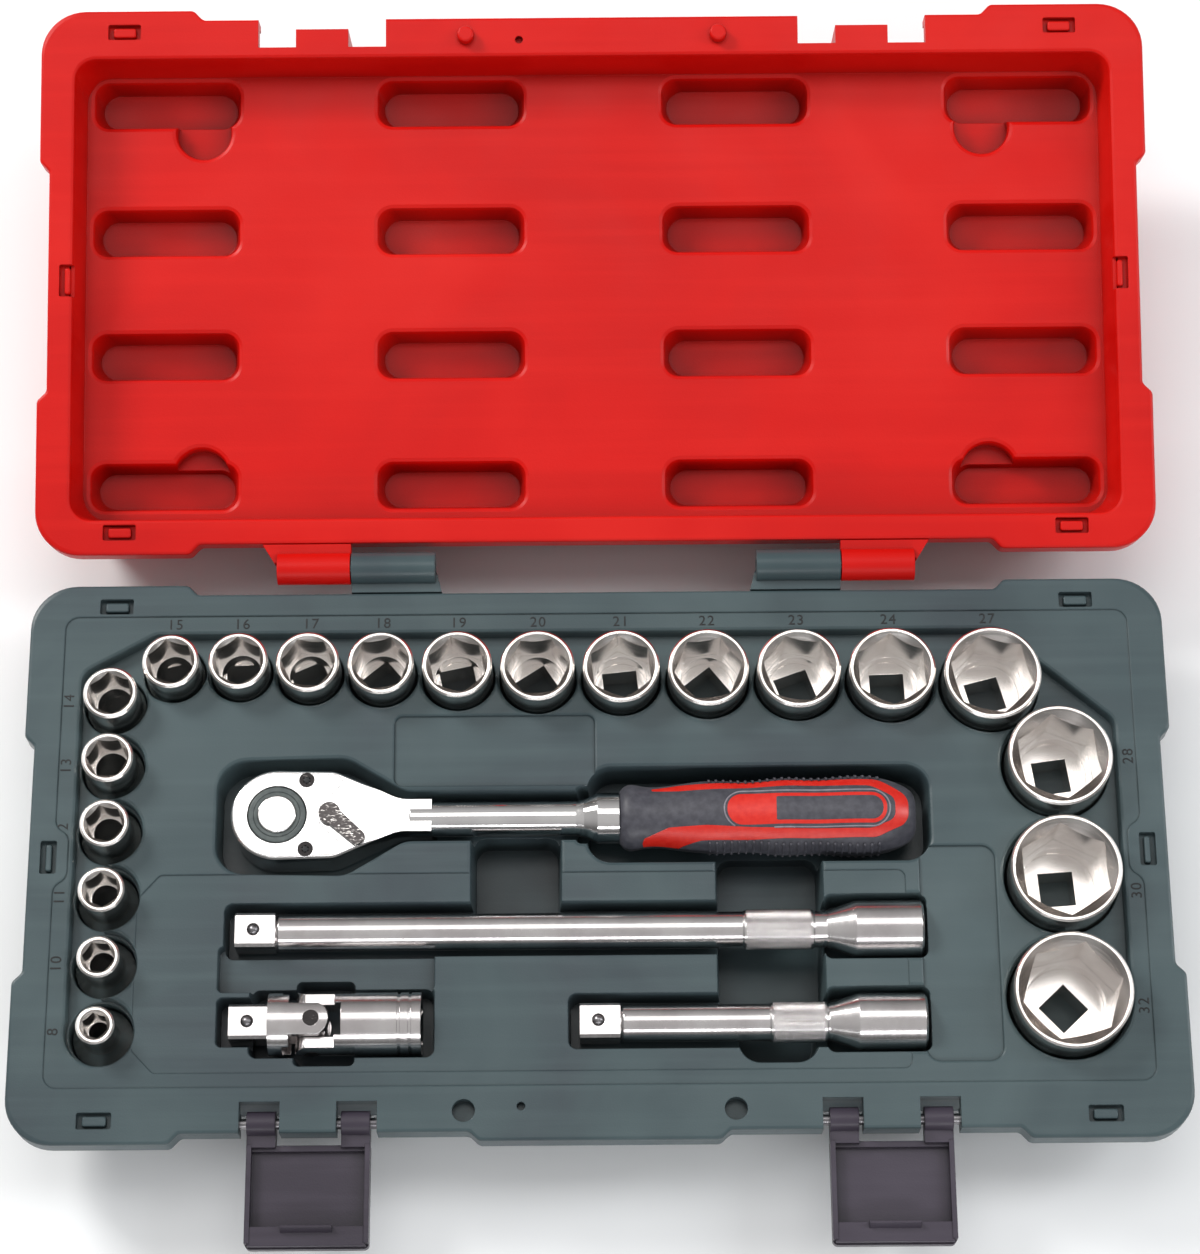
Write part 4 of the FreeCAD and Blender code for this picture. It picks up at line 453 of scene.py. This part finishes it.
class Bench:
    """Hand tools: adding primitives, selecting by place, and finishing pieces."""

    @staticmethod
    def clear() -> None:
        """Selects nothing."""
        bpy.ops.object.select_all(action="DESELECT")

    @staticmethod
    def take(piece: bpy.types.Object) -> None:
        """Selects one object alone and makes it active."""
        Bench.clear()
        piece.select_set(True)
        bpy.context.view_layer.objects.active = piece

    @staticmethod
    def start(name: str, operator: Callable[..., object], **values: object) -> bpy.types.Object:
        """Adds a primitive.

        Args:
            name: The new object's name.
            operator: The primitive's operator.
            values: Its settings.

        Returns:
            The new object.
        """
        Bench.clear()
        operator(**values)
        piece = bpy.context.active_object
        piece.name = name
        piece.data.name = name
        return piece

    @staticmethod
    @contextmanager
    def editing(piece: bpy.types.Object) -> Iterator[None]:
        """Opens a piece in edit mode, with all of it selected, and closes it again."""
        Bench.take(piece)
        bpy.ops.object.mode_set(mode="EDIT")
        bpy.ops.mesh.select_all(action="SELECT")
        try:
            yield
        finally:
            bpy.ops.object.mode_set(mode="OBJECT")

    @staticmethod
    def pick(piece: bpy.types.Object, test: Callable[[Vector], bool], mode: str = "FACE") -> None:
        """Selects faces, edges or corners by their middle, in edit mode.

        Args:
            piece: The piece that is being edited.
            test: Says whether a middle is wanted.
            mode: FACE, EDGE or VERT.
        """
        bpy.ops.mesh.select_mode(type=mode)
        bpy.ops.mesh.select_all(action="DESELECT")
        mesh = bmesh.from_edit_mesh(piece.data)
        groups = {"FACE": mesh.faces, "EDGE": mesh.edges, "VERT": mesh.verts}
        for item in groups[mode]:
            corners = [item] if mode == "VERT" else list(item.verts)
            middle = sum((corner.co for corner in corners), Vector()) / len(corners)
            item.select_set(test(middle))
        mesh.select_flush(True)
        bmesh.update_edit_mesh(piece.data)

    @staticmethod
    def modify(piece: bpy.types.Object, kind: str, **settings: object) -> None:
        """Adds a modifier and applies it.

        Args:
            piece: The piece to change.
            kind: The modifier's type.
            settings: Its properties.
        """
        Bench.take(piece)
        modifier = piece.modifiers.new(kind.lower(), kind)
        for key, value in settings.items():
            setattr(modifier, key, value)
        bpy.ops.object.modifier_apply(modifier=modifier.name)

    @staticmethod
    def copy(piece: bpy.types.Object, move: Vector, turn: float = 0.0,
             axis: str = "Z") -> bpy.types.Object:
        """Copies a piece with its own mesh.

        Args:
            piece: The piece to copy, whose mesh holds its place.
            move: How far the copy moves.
            turn: Its turn about its own origin, in radians.
            axis: The axis it turns about.

        Returns:
            The copy.
        """
        Bench.take(piece)
        bpy.ops.object.duplicate(linked=False)
        twin = bpy.context.active_object
        twin.matrix_world = Matrix.Translation(move) @ Matrix.Rotation(turn, 4, axis)
        Bench.settle(twin)
        return twin

    @staticmethod
    def join(name: str, pieces: Sequence[bpy.types.Object]) -> bpy.types.Object:
        """Joins pieces into one object.

        Args:
            name: The joined object's name.
            pieces: The pieces, the first of which is kept.

        Returns:
            The joined object.
        """
        Bench.take(pieces[0])
        for piece in pieces[1:]:
            piece.select_set(True)
        if len(pieces) > 1:
            bpy.ops.object.join()
        pieces[0].name = name
        pieces[0].data.name = name
        return pieces[0]

    @staticmethod
    def settle(piece: bpy.types.Object) -> None:
        """Moves a piece's place into its mesh."""
        Bench.take(piece)
        bpy.ops.object.transform_apply(location=True, rotation=True, scale=True)

    @staticmethod
    def finish(piece: bpy.types.Object, angle: float = 35.0, recalculate: bool = True) -> None:
        """Merges doubles, turns faces outwards and smooths shallow edges.

        Args:
            piece: The piece to finish.
            angle: Edges sharper than this stay sharp, in degrees.
            recalculate: Whether the normals are worked out again.
        """
        Bench.settle(piece)
        with Bench.editing(piece):
            bpy.ops.mesh.remove_doubles(threshold=1e-7)
            if recalculate:
                bpy.ops.mesh.normals_make_consistent(inside=False)
        Bench.take(piece)
        bpy.ops.object.shade_smooth_by_angle(angle=math.radians(angle))


# ---- sub-assemblies ---------------------------------------------------------------------------


@dataclass
class CarriedParts:
    """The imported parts, each with the finish of what it is made of."""

    paintbox: Paintbox
    by_slot: dict[str, Finish] = field(default_factory=lambda: {
        "case_base": Finish.BASE, "case_lid": Finish.LID, "latch_plastic": Finish.LATCH,
        "pin_steel": Finish.PIN, "ratchet_chrome": Finish.HEAD, "bar_satin": Finish.SATIN,
        "socket_chrome": Finish.SOCKET, "seal_rubber": Finish.SEAL,
        "grip_rubber": Finish.GRIP, "grip_red": Finish.GRIP_RED})
    by_node: dict[str, Finish] = field(default_factory=lambda: {
        "ratchet_cover_screws": Finish.DARK_STEEL, "reversing_lever": Finish.LEVER,
        "ujoint_fork_pin": Finish.DARK_STEEL, "ujoint_cross_pins": Finish.DARK_STEEL,
        "ratchet_pawl": Finish.DARK_STEEL, "ratchet_gear": Finish.SEAL,
        "quick_release_button": Finish.HEAD})

    def dress(self, frame: dict) -> None:
        """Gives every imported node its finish.
        """
        slots = {row["node"]: row["material_slot"] for row in frame["record"]["subparts"]}
        for name, node in sorted(frame["nodes"].items()):
            finish = self.by_node.get(name) or self.by_slot[slots[name]]
            self.paintbox.dress(node, finish)
        LOG.info("dressed %d packed nodes", len(frame["nodes"]))


@dataclass
class KnurledBand:
    """Diamond knurling round an extension bar."""

    paintbox: Paintbox
    name: str
    body: str
    node: str
    start: float
    end: float
    radius: float = 7.08 * MM
    tooth: float = 0.32 * MM
    around: int = 36
    foot_share: float = 0.53
    tip_share: float = 0.08
    rise_share: float = 0.4

    def build(self) -> bpy.types.Object:
        """Cuts the band: rows of small pyramids, every second row half a step on.

        Returns:
            The band.
        """
        low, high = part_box(self.node)
        axis_y = (low.y + high.y) / 2
        axis_z = (low.z + high.z) / 2
        pitch = math.tau * self.radius / self.around
        rows = int((self.end - self.start) / pitch)
        band = Bench.start(self.name, bpy.ops.mesh.primitive_cone_add, vertices=4,
                           radius1=pitch * self.foot_share, radius2=pitch * self.tip_share,
                           depth=self.tooth,
                           location=(self.start + pitch / 2, axis_y,
                                     axis_z + self.radius + self.tooth * self.rise_share))
        Bench.settle(band)
        with Bench.editing(band):
            bpy.ops.mesh.spin(steps=self.around - 1, dupli=True,
                              angle=math.tau * (self.around - 1) / self.around,
                              center=(self.start, axis_y, axis_z), axis=(1, 0, 0))
        Bench.modify(band, "ARRAY", count=rows, use_relative_offset=False,
                     use_constant_offset=True, constant_offset_displace=(pitch, 0, 0))
        half_step = math.pi / self.around
        Bench.take(band)
        bpy.ops.object.duplicate(linked=False)
        twin = bpy.context.active_object
        pivot = Matrix.Translation(Vector((0, axis_y, axis_z)))
        twin.matrix_world = (Matrix.Translation(Vector((pitch / 2, 0, 0))) @ pivot
                             @ Matrix.Rotation(half_step, 4, "X") @ pivot.inverted())
        Bench.settle(twin)
        band = Bench.join(self.name, [band, twin])
        Bench.finish(band, 20.0)
        self.paintbox.dress(band, Finish.SATIN)
        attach(band, self.body)
        LOG.info("%s: %d teeth", self.name, rows * 2 * self.around)
        return band


@dataclass
class SizeNumbers:
    """The small size numbers beside the sockets, raised on the tray's face."""

    paintbox: Paintbox
    height: float = 5.6 * MM
    side_x: float = 196.3 * MM
    side_column_x: float = 165.0 * MM
    side_column_rear: float = 80.0 * MM
    rear_gap: float = 6.9 * MM
    spacing: float = 1.15
    raise_by: float = 0.12 * MM
    face_drop: float = 0.6 * MM
    moved: Mapping[int, float] = field(
        default_factory=lambda: {28: 2.5 * MM, 30: -6.0 * MM, 32: -3.7 * MM})

    def build(self, frame: dict) -> bpy.types.Object:
        """Sets one number beside each socket.


        Returns:
            All the numbers, as one piece.
        """
        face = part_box("base_tool_tray")[1].z - self.face_drop
        numbers = []
        for name in sorted(frame["nodes"]):
            if name.startswith("socket_"):
                low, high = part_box(name)
                size = str(int(name.removeprefix("socket_").removesuffix("mm")))
                numbers.append(self.number(size, (low + high) / 2, high.y, face))
        piece = Bench.join("tray_size_numbers", numbers)
        Bench.finish(piece, 30.0)
        self.paintbox.dress(piece, Finish.NUMBER)
        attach(piece, "base")
        LOG.info("size numbers: %d", len(numbers))
        return piece

    def number(self, size: str, middle: Vector, rear: float, face: float) -> bpy.types.Object:
        """Sets one number.

        Args:
            size: The digits.
            middle: The middle of its socket.
            rear: The socket's rear edge.
            face: Height of the tray's face.

        Returns:
            The number as a mesh.
        """
        at_side = abs(middle.x) > self.side_column_x and rear < self.side_column_rear
        if at_side:
            along = middle.y + self.moved.get(int(size), 0.0)
            place = Vector((math.copysign(self.side_x, middle.x), along, face))
        else:
            place = Vector((middle.x, rear + self.rear_gap, face))
        Bench.clear()
        bpy.ops.object.text_add(location=place)
        text = bpy.context.active_object
        text.data.body = size
        text.data.align_x = "CENTER"
        text.data.align_y = "CENTER"
        text.data.size = self.height
        text.data.extrude = self.raise_by
        text.data.space_character = self.spacing
        text.rotation_euler = (0, 0, math.pi / 2 if at_side else 0)
        bpy.ops.object.convert(target="MESH")
        number = bpy.context.active_object
        Bench.settle(number)
        return number


@dataclass
class GripTrim:
    """The grip's side ridges and the fine outline round its plain badge."""

    paintbox: Paintbox
    body: str = "ratchet"
    first_x: float = 41.0 * MM
    last_x: float = 105.0 * MM
    ridge_gap: float = 2.7 * MM
    ridge_size: tuple[float, float, float] = (0.9 * MM, 1.2 * MM, 6.0 * MM)
    ridge_round: float = 0.35 * MM
    ridge_tilts: tuple[float, float] = (-0.32, 0.32)
    outside: float = 60.0 * MM
    badge_x: tuple[float, float] = (47.5 * MM, 106.0 * MM)
    badge_half: float = 5.9 * MM
    outline_gap: float = 1.1 * MM
    outline_radius: float = 0.32 * MM

    def build(self, frame: dict) -> None:
        """Makes both trims.
        """
        grip = frame["nodes"]["ratchet_grip"]
        self.ridges(grip)
        self.outline(grip)

    def ridges(self, grip: bpy.types.Object) -> None:
        """Raises a row of short rounded ribs along both sides of the grip.

        Args:
            grip: The grip's node, on which the ribs stand.
        """
        low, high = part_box("ratchet_grip")
        axis = Vector((0, (low.y + high.y) / 2, (low.z + high.z) / 2))
        rib = Bench.start("rib", bpy.ops.mesh.primitive_cube_add, size=1.0)
        rib.scale = self.ridge_size
        Bench.settle(rib)
        with Bench.editing(rib):
            bpy.ops.mesh.bevel(offset=self.ridge_round, segments=3, affect="EDGES")
        count = int((self.last_x - self.first_x) / self.ridge_gap)
        ribs = []
        for index in range(count + 1):
            x = self.first_x + index * self.ridge_gap
            for side in (-1, 1):
                for tilt in self.ridge_tilts:
                    way = Vector((0, side * math.cos(tilt), math.sin(tilt)))
                    origin = Vector((x, axis.y, axis.z)) + way * self.outside
                    hit, point, _, _ = grip.ray_cast(origin, -way)
                    if hit:
                        turn = math.atan2(way.z, way.y)
                        ribs.append(Bench.copy(rib, point, turn, "X"))
        bpy.data.objects.remove(rib)
        piece = Bench.join("grip_side_ridges", ribs)
        Bench.finish(piece, 40.0)
        self.paintbox.dress(piece, Finish.GRIP)
        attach(piece, self.body)
        LOG.info("grip ridges: %d", len(ribs))

    def outline(self, grip: bpy.types.Object) -> None:
        """Lays a thin bead round the badge, on the grip's upper face.

        Args:
            grip: The grip's node, on which the bead lies.
        """
        low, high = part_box("ratchet_grip")
        middle_y = (low.y + high.y) / 2
        half = self.badge_half + self.outline_gap
        left = self.badge_x[0] - self.outline_gap + half
        stretch = self.badge_x[1] + self.outline_gap - half - left
        bead = Bench.start("grip_badge_outline", bpy.ops.mesh.primitive_circle_add, vertices=64,
                           radius=half, location=(left, middle_y, high.z + 10 * MM),
                           fill_type="NOTHING")
        Bench.settle(bead)
        with Bench.editing(bead):
            Bench.pick(bead, lambda at: at.x > left + 1e-6, "VERT")
            bpy.ops.transform.translate(value=(stretch, 0, 0))
            Bench.pick(bead, lambda at: left + 0.001 < at.x < left + stretch - 0.001, "EDGE")
            bpy.ops.mesh.subdivide(number_cuts=24)
        Bench.modify(bead, "SHRINKWRAP", target=grip, wrap_method="PROJECT",
                     use_project_z=True, use_negative_direction=True,
                     use_positive_direction=False)
        Bench.take(bead)
        bpy.ops.object.convert(target="CURVE")
        curve = bpy.context.active_object
        curve.data.bevel_depth = self.outline_radius
        curve.data.bevel_resolution = 3
        bpy.ops.object.convert(target="MESH")
        bead = bpy.context.active_object
        Bench.finish(bead, 60.0)
        self.paintbox.dress(bead, Finish.OUTLINE)
        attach(bead, self.body)
        LOG.info("badge outline laid")


@dataclass
class RatchetDetails:
    """Near-black stars on the cover's screws, painted shade standing in for their recesses, and
    the dimple in the lever's hub.
    """

    paintbox: Paintbox
    screw_x: float = -107.0 * MM
    screw_off: float = 13.2 * MM
    star_radius: float = 1.55 * MM
    star_depth: float = 0.3 * MM
    star_sink: float = 0.12 * MM
    star_waist: float = 0.66
    star_round: float = 0.09 * MM
    lobes: int = 6
    lever_x: float = -98.3 * MM
    dimple_radius: float = 1.3 * MM
    dimple_depth: float = 0.4 * MM
    dimple_sink: float = 0.17 * MM
    dimple_rim: float = 0.3 * MM
    dimple_dish: float = 0.2 * MM

    def build(self) -> None:
        """Makes the stars and the dimple."""
        low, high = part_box("ratchet_cover_plate")
        middle_y = (low.y + high.y) / 2
        stars = [self.star(Vector((self.screw_x, middle_y + side * self.screw_off, high.z)))
                 for side in (-1, 1)]
        piece = Bench.join("cover_screw_stars_painted_shade", stars)
        Bench.finish(piece)
        # the stars' near-black colour is painted shade standing in for the dark inside the
        # screws' recesses
        self.paintbox.dress(piece, Finish.NUMBER)
        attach(piece, "ratchet")
        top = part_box("reversing_lever")[1].z
        dimple = self.disc(Vector((self.lever_x, middle_y, top)))
        self.paintbox.dress(dimple, Finish.DARK_STEEL)
        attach(dimple, "ratchet_lever")
        LOG.info("screw stars and lever dimple set")

    def star(self, place: Vector) -> bpy.types.Object:
        """Makes one star with rounded lobes: a dark inlay, nearly flush, whose colour is painted
        shade for the screw's recess.

        Args:
            place: The middle of its upper face.

        Returns:
            The star.
        """
        star = Bench.start("star", bpy.ops.mesh.primitive_cylinder_add, vertices=2 * self.lobes,
                           radius=self.star_radius, depth=self.star_depth,
                           location=place - Vector((0, 0, self.star_sink)))
        Bench.settle(star)
        step = math.tau / (2 * self.lobes)

        def hollow(at: Vector) -> bool:
            """Whether a corner is one of those between the lobes."""
            angle = math.atan2(at.y - place.y, at.x - place.x) / step
            return round(angle) % 2 == 1

        with Bench.editing(star):
            Bench.pick(star, hollow, "VERT")
            bpy.ops.transform.resize(value=(self.star_waist, self.star_waist, 1.0),
                                     center_override=place)
            bpy.ops.mesh.select_mode(type="EDGE")
            bpy.ops.mesh.select_all(action="SELECT")
            bpy.ops.mesh.bevel(offset=self.star_round, segments=2, affect="EDGES")
        return star

    def disc(self, place: Vector) -> bpy.types.Object:
        """Makes the dimple: a small dished disc on the lever's hub.

        Args:
            place: The middle of its upper face.

        Returns:
            The dimple.
        """
        disc = Bench.start("lever_dimple", bpy.ops.mesh.primitive_cylinder_add, vertices=32,
                           radius=self.dimple_radius, depth=self.dimple_depth,
                           location=place - Vector((0, 0, self.dimple_sink)))
        Bench.settle(disc)
        with Bench.editing(disc):
            Bench.pick(disc, lambda at: at.z > place.z, "FACE")
            bpy.ops.mesh.inset(thickness=self.dimple_rim)
            bpy.ops.transform.translate(value=(0, 0, -self.dimple_dish))
        Bench.finish(disc)
        return disc


# ---- studio -----------------------------------------------------------------------------------


@dataclass(frozen=True)
class Softbox:
    """A soft area light that faces a point on the case."""

    name: str
    place: tuple[float, float, float]
    size: tuple[float, float]
    power: float
    tint: tuple[float, float, float] = (1.0, 1.0, 1.0)
    target: tuple[float, float, float] = (0.0, 0.08, 0.02)

    def hang(self) -> None:
        """Adds the light."""
        data = bpy.data.lights.new(self.name, "AREA")
        data.shape = "RECTANGLE"
        data.size, data.size_y = self.size
        data.energy = self.power
        data.color = self.tint
        lamp = bpy.data.objects.new(self.name, data)
        bpy.context.scene.collection.objects.link(lamp)
        lamp.location = self.place
        way = Vector(self.target) - Vector(self.place)
        lamp.rotation_euler = way.to_track_quat("-Z", "Y").to_euler()
        lamp.visible_camera = False


@dataclass
class Studio:
    """Floor, sky, softboxes and camera."""

    paintbox: Paintbox
    floor_half: float = 6.0
    floor_drop: float = 0.0002
    camera_place: tuple[float, float, float] = (1.9 * MM, -340.0 * MM, 1201.4 * MM)
    camera_turn: tuple[float, float, float] = (0.353116, 0.000416, -0.00794)
    lens: float = 94.74
    sky_stops: tuple[tuple[float, float], ...] = (
        (0.0, 0.10), (0.22, 0.15), (0.5, 0.34), (0.8, 0.50), (1.0, 0.55))
    softboxes: tuple[Softbox, ...] = (
        Softbox("overhead", (0.0, 0.46, 1.62), (1.3, 0.62), 4.6, (1.0, 0.99, 0.98)),
        Softbox("key", (-1.15, 1.0, 1.15), (0.5, 0.5), 20.0, (1.0, 0.985, 0.96)),
        Softbox("side", (1.35, 0.25, 1.05), (0.4, 0.7), 7.0, (0.96, 0.98, 1.0)),
        Softbox("front_strip", (0.2, -1.3, 0.8), (1.8, 0.16), 8.0, (0.97, 0.98, 1.0)),
    )

    def build(self) -> None:
        """Sets up the whole studio."""
        self.floor()
        self.sky()
        for softbox in self.softboxes:
            softbox.hang()
        self.camera()
        bpy.context.scene.view_settings.view_transform = "Standard"
        LOG.info("studio ready")

    def floor(self) -> None:
        """Lays the pale floor."""
        floor = Bench.start("studio_floor", bpy.ops.mesh.primitive_plane_add,
                            size=2 * self.floor_half, location=(0, 0, -self.floor_drop))
        shader = Shader("floor_paint")
        tone = shader.ramp(shader.noise(3.0, 2.0),
                           [(0.3, (0.965, 0.98, 0.99, 1.0)), (0.7, (0.975, 0.99, 1.0, 1.0))])
        shader.feed(shader.surface.inputs["Base Color"], tone)
        shader.uniform(Roughness=0.9)
        floor.data.materials.append(shader.material)

    def sky(self) -> None:
        """Makes a pale sky with a darker band along the horizon, for the chrome."""
        world = bpy.data.worlds.new("studio_sky")
        bpy.context.scene.world = world
        world.use_nodes = True
        tree = world.node_tree
        tree.nodes.clear()
        output = tree.nodes.new("ShaderNodeOutputWorld")
        light = tree.nodes.new("ShaderNodeBackground")
        place = tree.nodes.new("ShaderNodeTexCoord")
        split = tree.nodes.new("ShaderNodeSeparateXYZ")
        ramp = tree.nodes.new("ShaderNodeValToRGB")
        elements = ramp.color_ramp.elements
        while len(elements) < len(self.sky_stops):
            elements.new(0.5)
        for element, (position, value) in zip(elements, self.sky_stops):
            element.position = position
            element.color = (value, value * 0.99, value * 0.985, 1.0)
        tree.links.new(place.outputs["Generated"], split.inputs["Vector"])
        tree.links.new(split.outputs["Z"], ramp.inputs["Fac"])
        tree.links.new(ramp.outputs["Color"], light.inputs["Color"])
        light.inputs["Strength"].default_value = 1.0
        tree.links.new(light.outputs["Background"], output.inputs["Surface"])

    def camera(self) -> None:
        """Sets the camera above the case's front."""
        data = bpy.data.cameras.new("camera")
        data.lens = self.lens
        data.sensor_width = 36.0
        data.clip_start, data.clip_end = 0.05, 50.0
        camera = bpy.data.objects.new("camera", data)
        bpy.context.scene.collection.objects.link(camera)
        camera.location = self.camera_place
        camera.rotation_mode = "ZYX"
        camera.rotation_euler = Euler(self.camera_turn, "ZYX")
        bpy.context.scene.camera = camera


def main() -> None:
    """Builds the looks in order."""
    logging.basicConfig(level=logging.INFO, format="%(name)s: %(message)s")
    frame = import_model()
    Bench.clear()
    paintbox = Paintbox()
    CarriedParts(paintbox).dress(frame)
    KnurledBand(paintbox, "long_bar_knurl", "long_extension", "long_extension_bar",
                53.4 * MM, 77.6 * MM).build()
    KnurledBand(paintbox, "short_bar_knurl", "short_extension", "short_extension_bar",
                62.4 * MM, 81.6 * MM).build()
    SizeNumbers(paintbox).build(frame)
    GripTrim(paintbox).build(frame)
    RatchetDetails(paintbox).build()
    Studio(paintbox).build()


if __name__ == "__main__":
    main()
